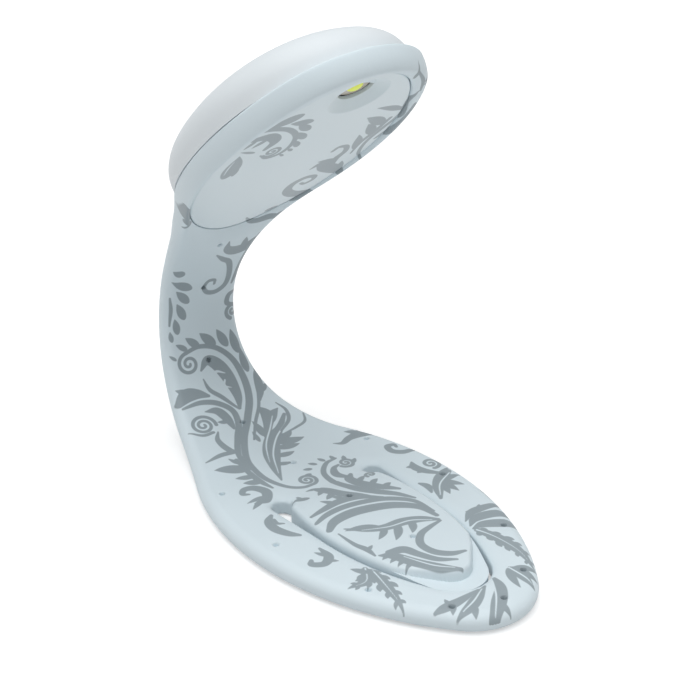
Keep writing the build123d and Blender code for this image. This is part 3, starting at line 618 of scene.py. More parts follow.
for root, tip, width in (((99.7, -8.0), (102.0, -8.2), 0.4), ((101.2, -6.5), (104.8, -7.1), 0.75),
                         ((104.2, -4.7), (108.4, -6.7), 0.85), ((108.0, -3.9), (111.8, -7.2), 0.85),
                         ((111.5, -3.6), (114.6, -8.6), 0.95), ((116.3, -6.4), (117.8, -9.0), 0.8)):
    leaf(root, tip, width)
stroke((103.4, -8.2, 0.1), (107.0, -7.9, 0.3), (110.2, -8.3, 0.1))
stroke((120.4, 0.0, 0.1), (118.6, 2.0, 0.5), (117.0, 4.0, 0.6), (113.5, 5.0, 0.6), (110.6, 4.6, 0.55),
       (109.2, 2.6, 0.5), (109.5, 0.4, 0.45), (111.0, -0.6, 0.4), (112.5, 0.2, 0.35), (112.4, 1.7, 0.3),
       (111.4, 1.8, 0.25))
stroke((110.4, 6.2, 0.2), (114.0, 7.5, 1.0), (119.0, 8.4, 1.3), (124.8, 8.9, 0.8))
stroke((124.8, 8.7, 0.3), (121.6, 7.0, 1.3), (120.8, 4.2, 1.35), (122.0, 1.9, 0.8), (124.6, 1.4, 0.05))
leaf((121.0, 6.0), (124.8, 5.4), 0.7)
stroke((130.2, 11.6, 0.4), (131.2, 8.6, 0.9), (130.2, 6.0, 0.7), (130.2, 4.0, 0.5), (131.8, 2.6, 0.1))
leaf((131.0, 9.4), (133.2, 10.8), 0.5)
leaf((133.0, 6.3), (134.7, 8.5), 0.6)

# Print on the head: a spiral with petals, buds and leaves near one edge, scrolls along the other
print_place = np.array((-2.2, 1.8))
stroke((164.0, -11.8, 0.1), (162.5, -9.8, 0.3), (163.3, -7.5, 0.38), (166.0, -6.7, 0.45),
       (169.6, -7.7, 0.5),
       (172.5, -10.6, 0.55), (173.8, -14.0, 0.6), (173.8, -16.6, 0.45))
curl((164.8, -9.8), 1.8, 230, -1.7, 0.3)
for root, tip, width in (((162.0, -6.0), (163.0, -7.2), 0.25), ((163.6, -5.1), (164.7, -6.4), 0.35),
                         ((165.0, -4.7), (167.5, -6.5), 0.6), ((167.9, -4.9), (170.8, -7.8), 0.75),
                         ((171.2, -5.9), (174.0, -9.6), 0.85), ((174.4, -7.1), (174.9, -11.8), 0.95),
                         ((177.7, -10.9), (174.3, -15.8), 1.3)):
    leaf(root, tip, width)
stroke((166.3, -12.1, 0.4), (169.1, -11.6, 0.95), (171.2, -13.8, 1.1), (171.0, -16.8, 0.7))
leaf((170.4, -13.8), (167.8, -15.6), 0.5)
leaf((170.6, -16.0), (167.8, -17.2), 0.4)
leaf((165.7, -13.8), (166.9, -17.2), 0.3)
leaf((156.8, -15.4), (165.4, -16.7), 1.6, 0.3)
leaf((157.2, -13.9), (161.4, -14.6), 0.5)
stroke((158.4, -16.2, 0.08), (161.0, -16.6, 0.14), (163.6, -16.7, 0.06), bare=True)
stroke((163.0, -19.2, 0.15), (168.0, -19.0, 0.65), (173.0, -18.0, 0.85), (177.0, -16.4, 0.75),
       (180.8, -15.2, 0.2))
for s in (167.0, 170.2, 173.2):
    leaf((s, -18.8), (s - 1.2, -20.8), 0.5)
leaf((180.8, -12.4), (184.6, -12.6), 0.9)
leaf((182.4, -12.8), (185.0, -15.4), 0.7)
stroke((137.2, -14.2, 0.3), (138.4, -13.6, 0.4), (140.0, -15.0, 0.45), (141.0, -15.8, 0.15))
stroke((140.6, -14.6, 0.3), (143.0, -16.4, 0.75), (145.6, -17.6, 0.65), (147.8, -18.8, 0.1))
stroke((142.4, 16.4, 0.7), (141.2, 12.4, 1.15), (141.6, 8.2, 1.15), (144.0, 5.3, 0.95), (147.0, 4.9, 0.8),
       (149.0, 6.6, 0.65), (148.8, 8.8, 0.55), (147.2, 9.3, 0.45), (146.0, 8.2, 0.38), (146.6, 7.0, 0.3))
leaf((141.4, 14.0), (136.8, 12.8), 0.95, 0.2)
leaf((141.2, 11.4), (138.2, 9.2), 0.7)
stroke((148.5, 15.0, 0.4), (150.4, 12.6, 1.45), (152.4, 9.2, 1.5), (154.4, 6.8, 0.8), (152.8, 5.4, 0.1))
stroke((152.6, 10.0, 0.9), (155.6, 9.5, 0.8), (158.4, 9.9, 0.6), (160.6, 8.8, 0.5), (160.9, 7.0, 0.45),
       (159.5, 6.4, 0.35))
leaf((155.2, 9.6), (155.7, 5.4), 0.7)
leaf((149.4, 13.8), (153.8, 12.2), 0.8)
stroke((153.4, 16.8, 0.15), (156.6, 14.3, 0.35), (161.0, 13.1, 0.4), (166.0, 13.6, 0.45),
       (171.0, 14.1, 0.4),
       (176.0, 12.1, 0.3), (180.6, 11.0, 0.1))
stroke((156.8, 12.3, 0.15), (161.0, 11.7, 0.4), (165.0, 12.3, 0.5), (170.0, 12.6, 0.35))
for root, tip, width in (((158.6, 11.8), (164.8, 9.0), 0.9), ((164.2, 11.9), (168.8, 8.4), 1.0),
                         ((167.8, 12.3), (171.7, 6.2), 1.2), ((172.8, 13.2), (175.0, 6.2), 0.8)):
    leaf(root, tip, width, 0.3)
print_place = np.array((-1.0, 1.0))
stroke((160.6, 15.4, 0.2), (165.0, 17.0, 0.9), (170.0, 16.4, 0.8), (174.6, 14.6, 0.2))
stroke((133.0, 15.2, 0.2), (139.0, 17.2, 0.7), (146.0, 18.6, 0.6), (151.0, 18.9, 0.2))
stroke((179.4, 12.2, 0.12), (183.2, 10.0, 0.28), (186.6, 6.6, 0.12))
curl((183.0, 11.6), 1.2, 180, -1.3, 0.24)
leaf((184.4, 7.0), (187.6, 6.4), 0.35)


def printed(flat):
    """Distance outside the print at each point, in millimetres, below zero where it is printed."""
    spread = 0.08
    value = np.full(len(flat), 1.0)
    for bare, line, widths in scroll_print:
        reach = widths.max() + 1.0
        low, high = line.min(0) - reach, line.max(0) + reach
        near = ((flat > low) & (flat < high)).all(1)
        if not near.any():
            continue
        p = flat[near]
        a, run = line[:-1], line[1:] - line[:-1]
        ahead = p[:, None] - a
        share = np.clip((ahead * run).sum(2) / np.maximum((run**2).sum(1), 1e-9), 0, 1)
        gap = np.sqrt(((ahead - share[..., None] * run)**2).sum(2))
        edge = (gap - (widths[:-1] + (widths[1:] - widths[:-1]) * share)).min(1)
        value[near] = np.maximum(value[near], -edge) if bare else np.minimum(value[near], edge - spread)
    return value


# Moulded stuff is clouded a little in colour and gloss and has a fine grain, by the same group of nodes
# in every rubber and plastic, each with its own values.
def linear(written):
    """Linear value of an sRGB colour written 0 to 255."""
    return tuple((c / 255 / 12.92 if c <= 10 else ((c / 255 + 0.055) / 1.055)**2.4) for c in written) + (1.0,)


def group(name, kind, inputs, outputs):
    """A node group with named inputs and outputs, and its nodes for them."""
    tree = bpy.data.node_groups.new(name, kind)
    for end, entries in (("INPUT", inputs), ("OUTPUT", outputs)):
        for label, sort in entries:
            tree.interface.new_socket(label, in_out=end, socket_type="NodeSocket" + sort)
    return tree, tree.nodes.new("NodeGroupInput"), tree.nodes.new("NodeGroupOutput")


def node(tree, kind, inputs, operation=None):
    """A node whose inputs are given by name or number, as values or as other nodes' outputs."""
    made = tree.nodes.new(kind)
    if operation:
        made.operation = operation
    for label, value in inputs.items():
        if isinstance(value, bpy.types.NodeSocket):
            tree.links.new(value, made.inputs[label])
        else:
            made.inputs[label].default_value = value
    return made


def surface_ends(tree, made, colour, roughness, bump):
    """Links a surface group's three results to its outputs."""
    tree.links.new(colour.outputs[0], made.inputs["Colour"])
    tree.links.new(roughness.outputs[0], made.inputs["Roughness"])
    tree.links.new(bump.outputs["Normal"], made.inputs["Normal"])


surface_inputs = [("Coordinates", "Vector"), ("Colour", "Color"), ("Roughness", "Float")]
surface_outputs = [("Colour", "Color"), ("Roughness", "Float"), ("Normal", "Vector")]
grain_inputs = [("Clouding", "Float"), ("Grain Size", "Float"), ("Grain Depth", "Float")]
moulding, given, made = group(
    "moulded_surface", "ShaderNodeTree", surface_inputs + grain_inputs, surface_outputs)
clouds = node(moulding, "ShaderNodeTexNoise",
              {"Vector": given.outputs["Coordinates"], "Scale": 70, "Detail": 4})
centred = node(moulding, "ShaderNodeMath", {0: clouds.outputs["Fac"], 1: 0.5}, "SUBTRACT")
shade = node(moulding, "ShaderNodeMath",
             {0: centred.outputs[0], 1: given.outputs["Clouding"], 2: 1.0}, "MULTIPLY_ADD")
tinted = node(moulding, "ShaderNodeVectorMath",
              {0: given.outputs["Colour"], "Scale": shade.outputs[0]}, "SCALE")
wear = node(moulding, "ShaderNodeMath",
            {0: centred.outputs[0], 1: 0.25, 2: given.outputs["Roughness"]}, "MULTIPLY_ADD")
fineness = node(moulding, "ShaderNodeMath", {0: 1.0, 1: given.outputs["Grain Size"]}, "DIVIDE")
grain = node(moulding, "ShaderNodeTexNoise",
             {"Vector": given.outputs["Coordinates"], "Scale": fineness.outputs[0], "Detail": 2})
relief_bump = node(moulding, "ShaderNodeBump",
                   {"Distance": given.outputs["Grain Depth"], "Height": grain.outputs["Fac"]})
surface_ends(moulding, made, tinted, wear, relief_bump)


def surfaced(name, surface_group, values):
    """A material fed by a surface group on the piece's own coordinates, its shader and the group's node."""
    stuff = bpy.data.materials.new(name)
    stuff.use_nodes = True
    tree = stuff.node_tree
    shader = tree.nodes["Principled BSDF"]
    place = tree.nodes.new("ShaderNodeTexCoord")
    surface = tree.nodes.new("ShaderNodeGroup")
    surface.node_tree = surface_group
    tree.links.new(place.outputs["Object"], surface.inputs["Coordinates"])
    for label, value in values.items():
        surface.inputs[label].default_value = value
    for label, socket in (("Colour", "Base Color"), ("Roughness", "Roughness"), ("Normal", "Normal")):
        tree.links.new(surface.outputs[label], shader.inputs[socket])
    return stuff, shader, surface


def moulded(name, colour, roughness, clouding, grain_size, grain_depth):
    """A material of moulded stuff, its shader and the node of its surface group."""
    values = {"Colour": linear(colour), "Roughness": roughness, "Clouding": clouding,
              "Grain Size": grain_size, "Grain Depth": grain_depth}
    return surfaced(name, moulding, values)


def print_over(stuff, surface, ink_colour):
    """The grey print over a material's own colour, with an edge as soft as ink's."""
    ink_edge = 0.09
    tree = stuff.node_tree
    inked = tree.nodes.new("ShaderNodeAttribute")
    inked.attribute_name = "print"
    soft_edge = node(tree, "ShaderNodeMapRange",
                     {"Value": inked.outputs["Fac"], "From Min": -ink_edge, "From Max": ink_edge})
    soft_edge.interpolation_type = "SMOOTHSTEP"
    colour = tree.nodes.new("ShaderNodeMix")
    colour.data_type = "RGBA"
    tree.links.new(soft_edge.outputs["Result"], colour.inputs["Factor"])
    colour.inputs[6].default_value = linear(ink_colour)
    colour.inputs[7].default_value = surface.inputs["Colour"].default_value
    tree.links.new(colour.outputs[2], surface.inputs["Colour"])


rubber, shader, surface = moulded("printed_silicone", (216, 229, 235), 0.5, 0.05, 0.0005, 0.000012)
shader.inputs["Sheen Weight"].default_value = 0.06
shader.inputs["Specular IOR Level"].default_value = 0.35
print_over(rubber, surface, (152, 164, 170))

tongue_pins = [(25.2, 0.0), (42.4, 0.0)]
ring_side = strap_side(0, bend_start)
ring_outline = np.vstack((ring_side * (1, -1),
                          straight(ring_side[-1] * (1, -1), ring_side[-1]), ring_side[1:][::-1]))
ring_edge = np.vstack((ring_side[1:][::-1], ring_side[:1], (ring_side * (1, -1))[1:]))
ring_pins = [p for p in pin_places if p[0] < bend_start and p not in tongue_pins]
ring = strap_piece("clip_ring", [ring_outline, opening], [(ring_edge, False), (opening_line, False)],
                   ring_top, ring_bottom, ring_pins)
ring.data.materials.append(rubber)
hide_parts("base_cover")
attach(ring, "base")

# Steel core of the clip: the plate under the ring's rubber and the strips in the tongue, neck and head.
# Rolled spring steel, blanked out and moulded into the rubber. It shows only at a cut or a cut-away.
rolling, given, made = group("rolled_metal", "ShaderNodeTree", surface_inputs, surface_outputs)
drawn_out = node(rolling, "ShaderNodeMapping",
                 {"Vector": given.outputs["Coordinates"], "Scale": (0.06, 1, 1)})
streaks = node(rolling, "ShaderNodeTexNoise",
               {"Vector": drawn_out.outputs["Vector"], "Scale": 4000, "Detail": 3})
tone = node(rolling, "ShaderNodeMapRange", {"Value": streaks.outputs["Fac"], "To Min": 0.88, "To Max": 1.06})
tinted = node(rolling, "ShaderNodeVectorMath",
              {0: given.outputs["Colour"], "Scale": tone.outputs["Result"]}, "SCALE")
uneven = node(rolling, "ShaderNodeMath",
              {0: streaks.outputs["Fac"], 1: 0.18, 2: given.outputs["Roughness"]}, "MULTIPLY_ADD")
scratches = node(rolling, "ShaderNodeBump", {"Distance": 0.000008, "Height": streaks.outputs["Fac"]})
surface_ends(rolling, made, tinted, uneven, scratches)


def metal(name, colour, roughness):
    """A rolled or drawn metal."""
    stuff, shader, surface = surfaced(name, rolling, {"Colour": linear(colour), "Roughness": roughness})
    shader.inputs["Metallic"].default_value = 1.0
    return stuff


def finish(part, stuff):
    """A material for a CAD node that stays as it is."""
    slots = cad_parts[part].data.materials
    slots.clear()
    slots.append(stuff)


spring_steel = metal("spring_steel", (196, 196, 198), 0.3)
for name in ["base_core", "tongue_core", "head_tang"] + [f"spine_link_{k}" for k in range(1, 7)]:
    finish(name, spring_steel)

# Tongue: the leaf inside the slit, the same rubber over a second steel plate.
# On the real clip it bends at its root, in one piece with the ring, and holds the page against it.
leaf_grow, corner = -half_slit, 1.4
corner_reach = slit_side_radius + leaf_grow - corner
apart_centres = math.dist(slit_side, relief)
out = (corner_reach**2 - (relief_radius + corner)**2 + apart_centres**2) / (2 * apart_centres)
up = math.sqrt(corner_reach**2 - out**2)
along_x, along_y = (relief[0] - slit_side[0]) / apart_centres, (relief[1] - slit_side[1]) / apart_centres
corner_centre = (slit_side[0] + out * along_x - up * along_y, slit_side[1] + out * along_y + up * along_x)
start_angle = math.atan2(corner_centre[1] - slit_side[1], corner_centre[0] - slit_side[0])
end_angle = math.atan2(relief[1] - corner_centre[1], relief[0] - corner_centre[0])
corner_angles = np.linspace(start_angle, end_angle, 12)
corner_arc = np.column_stack((
    corner_centre[0] + corner * np.cos(corner_angles), corner_centre[1] + corner * np.sin(corner_angles)))
first_angle = math.atan2(corner_centre[1] - relief[1], corner_centre[0] - relief[0]) % (2 * math.pi)
hollow_angles = np.linspace(first_angle, 1.5 * math.pi, 12)
hollow_arc = np.column_stack((
    relief[0] + relief_radius * np.cos(hollow_angles), relief[1] + relief_radius * np.sin(hollow_angles)))
tongue_side = np.vstack((leaf_side(leaf_grow, corner_arc[0][0]), corner_arc, hollow_arc[1:]))
tongue_outline = np.vstack((tongue_side * (1, -1), root_line[::-1], tongue_side[1:][::-1]))
tongue_edge = np.vstack((tongue_side[1:][::-1], tongue_side * (1, -1)))
tongue_proud, proud_run = 0.6, (44, 50)
lip_width, nose_run = 3.0, (12, 21)
step_round, step_fall, nose_fall = 0.9, 1.0, 0.9


def tongue_top(flat):
    """The leaf's face: proud of the ring, with steep sides and a low lip round its nose."""
    gap = apart(flat, [tongue_edge])
    nose = 1 - smooth(flat[:, 0], *nose_run)
    proud = tongue_proud * (1 - smooth(flat[:, 0], *proud_run))
    lip = lip_width * nose
    step = rounding(np.maximum(gap - lip, 0), step_round, step_fall + nose_fall * nose)
    return thickness / 2 + proud - step - dimples(flat) * (gap > lip)


def tongue_bottom(flat):
    """The leaf's back, rounded along the slit."""
    return -thickness / 2 + rounding(apart(flat, [tongue_edge]), under_round, under_rise)


tongue = strap_piece("clip_tongue_leaf", [tongue_outline], [(tongue_edge, False)], tongue_top, tongue_bottom,
                     tongue_pins)
tongue.data.materials.append(rubber)
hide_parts("clip_tongue")
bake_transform(tongue)

# Neck: the narrow middle of the strap, rubber over a thin steel spine that keeps any bend.
# Its pieces meet at seams without a mark, each lying between two of the hinged links.
head_seam = 10.8
seams = bend_start + np.cumsum((0.0,) + bend_cells[:-1] + (head_seam,))
for k in range(7):
    first, last = seams[k], seams[k + 1]
    side = strap_side(first, last)
    outline = np.vstack((side * (1, -1), straight(side[-1] * (1, -1), side[-1]), side[::-1],
                         straight(side[0], side[0] * (1, -1))))
    pins = [p for p in pin_places if first + 1 < p[0] < last - 1]
    piece = strap_piece(f"neck_rubber_{k + 1}", [outline], [(side[::-1], False), (side * (1, -1), False)],
                        strap_top, strap_bottom, pins)
    piece.data.materials.append(rubber)
    if k:
        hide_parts(f"neck_link_{k}")
    ends = on_strap(np.array([(first, 0.0), (last, 0.0)]), np.zeros(2))
    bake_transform(piece)

# Head rim: the strap's far end, the same rubber moulded into a raised band round the panel.
# The panel sits on its ledge, and the lamp's housing is fixed against its back.
rim_side = strap_side(seams[-1], strap_length)
rim_outline = np.vstack((rim_side * (1, -1), rim_side[:-1][::-1],
                         straight(rim_side[0], rim_side[0] * (1, -1))))
rim_edge = np.vstack((rim_side * (1, -1), rim_side[:-1][::-1]))
ledge_width, ledge_level, bare_from = 5.0, -0.3, 146
recess = panel_outline(panel_gap)[::-1]
ledge = panel_outline(-ledge_width)[::-1]


def at_level(line, level):
    """Points of a flat line on the bent strap, all at one height."""
    return on_strap(line, np.full(len(line), level))


flat, faces, above = sheet([rim_outline, recess], [(rim_edge, False)], front_step)
under, under_faces, below = sheet([rim_outline, ledge], [(rim_edge, False)], back_step)
points = [on_strap(flat, strap_top(flat)), on_strap(under, strap_bottom(under)),
          at_level(recess, ledge_level), at_level(ledge, ledge_level)]
starts = np.cumsum([0] + [len(p) for p in points])
faces = faces[:, ::-1].tolist() + (under_faces + starts[1]).tolist()
faces += band(above[0], [starts[1] + i for i in below[0]])
wall_foot = [starts[2] + i for i in range(len(recess))]
ledge_edge = [starts[3] + i for i in range(len(ledge))]
faces += band(above[1], wall_foot) + band(wall_foot, ledge_edge)
faces += band(ledge_edge, [starts[1] + i for i in below[1]])
rim = solid("head_rim_band", np.vstack(points), faces)
bare_side = (flat[:, 1] < 0) & (flat[:, 0] > bare_from)
mark_print(rim, np.where(bare_side, 1.0, printed(flat)))
rim.data.materials.append(rubber)
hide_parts("head_rim")
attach(rim, "head")

# Panel: a rigid oval plate of moulded plastic, printed like the strap, set in the rim.
# A shallow cone near its end opens onto the lamp.
panel_front, panel_thickness, panel_round = 0.9, 1.2, 0.3
lamp_place, cone_radius, cone_depth, cone_lip, lip_fall = 44.8, 5.47, 1.3, 0.12, 0.06
aperture_radius, aperture_wall = 3.15, 0.6
panel_edge = panel_outline(0)
turns = np.linspace(0, 2 * math.pi, 97)[:-1]
circle = np.column_stack((np.cos(turns), np.sin(turns)))
lamp_centre = (head_start + lamp_place, 0.0)


def round_lamp(radius):
    """A circle round the lamp's place on the panel, run clockwise."""
    return (lamp_centre + radius * circle)[::-1]


collar = aperture_radius + aperture_wall
flat, faces, above = sheet([panel_edge, round_lamp(cone_radius)], [(panel_edge, True)], front_step)
closed_edge = np.vstack((panel_edge, panel_edge[:1]))
height = panel_front - rounding(apart(flat, [closed_edge]), panel_round, panel_round)
under, under_faces, below = sheet([panel_edge, round_lamp(collar)], [], back_step)
panel_back = panel_front - panel_thickness
aperture_top = panel_front - cone_depth
aperture_foot = aperture_top - aperture_wall
points = [on_strap(flat, height), at_level(under, panel_back)]
for radius, level in ((cone_radius - cone_lip, panel_front - lip_fall), (aperture_radius, aperture_top),
                      (aperture_radius, aperture_foot), (collar, aperture_foot)):
    points.append(at_level(round_lamp(radius), level))
starts = np.cumsum([0] + [len(p) for p in points])
rows = [[starts[k + 2] + i for i in range(len(circle))] for k in range(4)]
faces = faces[:, ::-1].tolist() + (under_faces + starts[1]).tolist()
faces += band(above[0], [starts[1] + i for i in below[0]]) + band(above[1], rows[0])
for upper, lower in zip(rows, rows[1:]):
    faces += band(upper, lower)
faces += band(rows[-1], [starts[1] + i for i in below[1]])
panel = solid("oval_panel", np.vstack(points), faces, 30)
mark_print(panel, printed(flat))
panel_plastic, shader, surface = moulded(
    "printed_panel_plastic", (220, 232, 237), 0.42, 0.03, 0.0009, 0.00001)
shader.inputs["Specular IOR Level"].default_value = 0.45
print_over(panel_plastic, surface, (158, 170, 176))
panel.data.materials.append(panel_plastic)
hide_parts("front_panel")
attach(panel, "head")

# Housing: the domed shell of moulded plastic on the back, which holds the cells and the switch.
# It has a seat and an opening for the door and a round hole for the button.
pod_centre, pod_half_length, pod_half_width, pod_power = 25.05, 26.48, 19.80, 2.18
pod_side, pod_dome, pod_wall, pod_top_share = 1.58, 7.19, 1.3, 0.6
door_centre, door_radius, door_thickness, door_seat, door_gap = 20.5, 11.25, 1.0, 0.9, 0.15
lug_place, lug_radius, screw_hole, cell_opening = 33.5, 2.75, 0.85, 10.2
button_place, button_radius, button_gap = 41.0, 3.2, 0.1
post_wall, post_top, screw_post = 1.6, 0.6, 4.0


def pod_rows(inset):
    """Rings of the dome from its rim to its flat top."""
    angles = np.linspace(0, 2 * math.pi, 193)[:-1]
    c, s = np.cos(angles), np.sin(angles)
    around = np.column_stack(((pod_half_length - inset) * np.sign(c) * np.abs(c)**(2 / pod_power),
                              (pod_half_width - inset) * np.sign(s) * np.abs(s)**(2 / pod_power)))
    shoulder = rim_back - pod_side
    rows = [(1.0, rim_back), (1.0, rim_back - pod_side / 2), (1.0, shoulder)]
    for t in np.sin(np.linspace(0, math.pi / 2, 22)[1:]):
        share = 1 - (1 - pod_top_share) * (1 - math.sqrt(max(1 - t * t, 0)))
        rows.append((share, shoulder - t * (pod_dome - inset)))
    for share in (0.8, 0.6, 0.4, 0.2):
        rows.append((pod_top_share * share, rows[-1][1]))
    return [at_level((head_start + pod_centre, 0.0) + around * scale, level) for scale, level in rows]


def ladder(rings):
    """Numbers of the points in rings of one length, and the faces between the rings."""
    count = len(rings[0])
    rows = [range(k * count, (k + 1) * count) for k in range(len(rings))]
    return rows, [face for upper, lower in zip(rows, rows[1:]) for face in band(upper, lower)]


def outwards(made):
    """Turns a closed piece's faces outwards."""
    mesh = bmesh.new()
    mesh.from_mesh(made.data)
    bmesh.ops.recalc_face_normals(mesh, faces=mesh.faces)
    mesh.to_mesh(made.data)
    mesh.free()


def pod_shell():
    """The dome's inner and outer skins, joined along the rim, each closed at its middle."""
    outer, inner = pod_rows(0), pod_rows(pod_wall)
    rings = inner[::-1] + outer
    rows, faces = ladder(rings)
    count, middle = len(rings[0]), len(rings) * len(rings[0])
    for i in range(count):
        j = (i + 1) % count
        faces.append((middle, j, i))
        faces.append((middle + 1, rows[-1][i], rows[-1][j]))
    points = np.vstack(rings + [inner[-1].mean(0), outer[-1].mean(0)])
    made = solid("housing_shell", points, faces, 35)
    outwards(made)
    return made


def stacked(name, rings, crease=35):
    """A closed piece through rings of points, flat at both ends."""
    rows, faces = ladder(rings)
    made = solid(name, np.vstack(rings), faces + [tuple(rows[0]), tuple(rows[-1])], crease)
    outwards(made)
    return made


def lies(u, y, n):
    """A point of the head, from its place along, across and out of the front."""
    return on_strap(np.array([(head_start + u, y)]), np.array([n]))[0]


def turned(name, u, y, profile, count=96, crease=35):
    """A closed turned piece on the head, from stops of radius and height along its axis."""
    angles = np.linspace(0, 2 * math.pi, count + 1)[:-1]
    rings = []
    for radius, level in profile:
        flat = np.column_stack((head_start + u + radius * np.cos(angles), y + radius * np.sin(angles)))
        rings.append(at_level(flat, level))
    return stacked(name, rings, crease)


def carve(made, tools, operation):
    """Cuts tools out of a piece, or joins them to it, and removes them."""
    for tool in tools:
        step = made.modifiers.new("carve", "BOOLEAN")
        step.operation = operation
        step.solver = "EXACT"
        step.object = tool
    bpy.context.view_layer.update()
    done = bpy.data.meshes.new_from_object(made.evaluated_get(bpy.context.evaluated_depsgraph_get()))
    made.modifiers.clear()
    made.data = done
    for tool in tools:
        bpy.data.objects.remove(tool)


def door_outline(grow):
    """The door's outline: a disc that narrows to a lug, from its place along and across."""
    large, small = door_radius + grow, lug_radius + grow
    lean = math.acos((door_radius - lug_radius) / (lug_place - door_centre))
    far = np.linspace(lean, 2 * math.pi - lean, 144)
    near = np.linspace(-lean, lean, 24)
    return np.vstack((np.column_stack((door_centre + large * np.cos(far), large * np.sin(far))),
                      np.column_stack((lug_place + small * np.cos(near), small * np.sin(near)))))


def door_block(name, rows):
    """A closed block on the door's outline, from stops of growth and height."""
    return stacked(name, [at_level((head_start, 0) + door_outline(grow), level) for grow, level in rows])


def bore(place, radius, inner):
    """A tool that cuts a round hole from outside the housing down to a level."""
    return turned("cut", place, 0, [(radius, outside), (radius, inner)])


def carved_finish(made, stuff):
    """Shading and material of a carved piece."""
    made.data.shade_smooth()
    made.data.set_sharp_from_angle(angle=math.radians(30))
    made.data.materials.clear()
    made.data.materials.append(stuff)


housing_back = rim_back - pod_side - pod_dome
outside = housing_back - 3
door_inside = housing_back + door_thickness
post_outer = housing_back + post_top
housing_plastic, shader, surface = moulded("housing_plastic", (222, 229, 233), 0.55, 0.04, 0.0007, 0.00002)
shader.inputs["Sheen Weight"].default_value = 0.08
housing = pod_shell()
seat_radius = door_radius + post_wall
posts = [turned("post", door_centre, 0, [(seat_radius, post_outer), (seat_radius, door_inside + door_seat)]),
         turned("post", lug_place, 0, [(lug_radius, post_outer), (lug_radius, door_inside + screw_post)])]
carve(housing, posts, "UNION")
cuts = [door_block("cut", [(door_gap, outside), (door_gap, door_inside)]),
        bore(door_centre, cell_opening, door_inside + 3),
        bore(lug_place, screw_hole, door_inside + 5),
        bore(button_place, button_radius + button_gap, door_inside + 5)]
carve(housing, cuts, "DIFFERENCE")
carved_finish(housing, housing_plastic)
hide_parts("rear_housing")
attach(housing, "head")

# Battery door: a flush disc with a lug, of the housing's plastic, which lifts off over the cells.
# One screw in a sunk hole through the lug holds it.
door_round, screw_sink, screw_sink_depth = 0.3, 1.55, 0.6


def rounded_edge(reach, level, radius):
    """Stops of an outer edge, rounded from the back face to the side."""
    return [(reach - radius * (1 - math.sin(t)), level + radius * (1 - math.cos(t)))
            for t in np.radians(np.linspace(0, 90, 6))]


rows = [(-door_round - 0.2, housing_back)] + rounded_edge(0.0, housing_back, door_round)
rows += [(0.0, door_inside - 0.05), (-0.05, door_inside)]
door = door_block("door_cover", rows)
carve(door, [bore(lug_place, screw_sink, housing_back + screw_sink_depth),
             bore(lug_place, screw_hole, door_inside + 1)], "DIFFERENCE")
carved_finish(door, housing_plastic)
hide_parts("battery_door")
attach(door, "door")

# Screws: zinc-plated steel, a slotted head on a plain shank, one in the door and four in the rim.
# The four hold the housing and the panel together from the front, under the panel's edge.
screw_sizes = ("Head Radius", "Head Height", "Shank Radius", "Shank Length", "Slot Width", "Slot Depth")
screw_inputs = [("Places", "Geometry"), *((label, "Float") for label in screw_sizes), ("Finish", "Material")]
screw_tree, given, made = group("slotted_screws", "GeometryNodeTree", screw_inputs, [("Screws", "Geometry")])
screw_tree.is_modifier = True


def times(label, factor):
    """One of the screw's sizes, times a number."""
    return node(screw_tree, "ShaderNodeMath", {0: given.outputs[label], 1: factor}, "MULTIPLY").outputs[0]


def lowered(mesh, label):
    """A mesh moved down the screw's axis by half of one of its sizes."""
    down = node(screw_tree, "ShaderNodeCombineXYZ", {"Z": times(label, -0.5)})
    moved = node(screw_tree, "GeometryNodeTransform", {"Geometry": mesh, "Translation": down.outputs[0]})
    return moved.outputs[0]


def bar(radius, length):
    """A round bar of the screw, its top level with the screw's face."""
    rod = node(screw_tree, "GeometryNodeMeshCylinder",
               {"Vertices": 64, "Radius": given.outputs[radius], "Depth": given.outputs[length]})
    return lowered(rod.outputs["Mesh"], length)


slot_long, slot_high = times("Head Radius", 3.0), times("Slot Depth", 2.0)
slot_size = node(screw_tree, "ShaderNodeCombineXYZ",
                 {"X": slot_long, "Y": given.outputs["Slot Width"], "Z": slot_high})
slot_block = node(screw_tree, "GeometryNodeMeshCube", {"Size": slot_size.outputs[0]})
head_bar = bar("Head Radius", "Head Height")
shank_bar = lowered(bar("Shank Radius", "Shank Length"), "Head Height")
joined_bars = node(screw_tree, "GeometryNodeMeshBoolean", {"Mesh 2": head_bar}, "UNION")
screw_tree.links.new(shank_bar, joined_bars.inputs["Mesh 2"])
slotted = node(screw_tree, "GeometryNodeMeshBoolean",
               {"Mesh 1": joined_bars.outputs["Mesh"], "Mesh 2": slot_block.outputs["Mesh"]}, "DIFFERENCE")
placed_screws = node(screw_tree, "GeometryNodeInstanceOnPoints",
                     {"Points": given.outputs["Places"], "Instance": slotted.outputs["Mesh"]})
real_screws = node(screw_tree, "GeometryNodeRealizeInstances",
                   {"Geometry": placed_screws.outputs["Instances"]})
coated = node(screw_tree, "GeometryNodeSetMaterial",
              {"Geometry": real_screws.outputs["Geometry"], "Material": given.outputs["Finish"]})
screw_tree.links.new(coated.outputs["Geometry"], made.inputs["Screws"])
screw_steel = metal("zinc_plated_steel", (206, 207, 209), 0.25)
foot = lies(0, 0, 0)


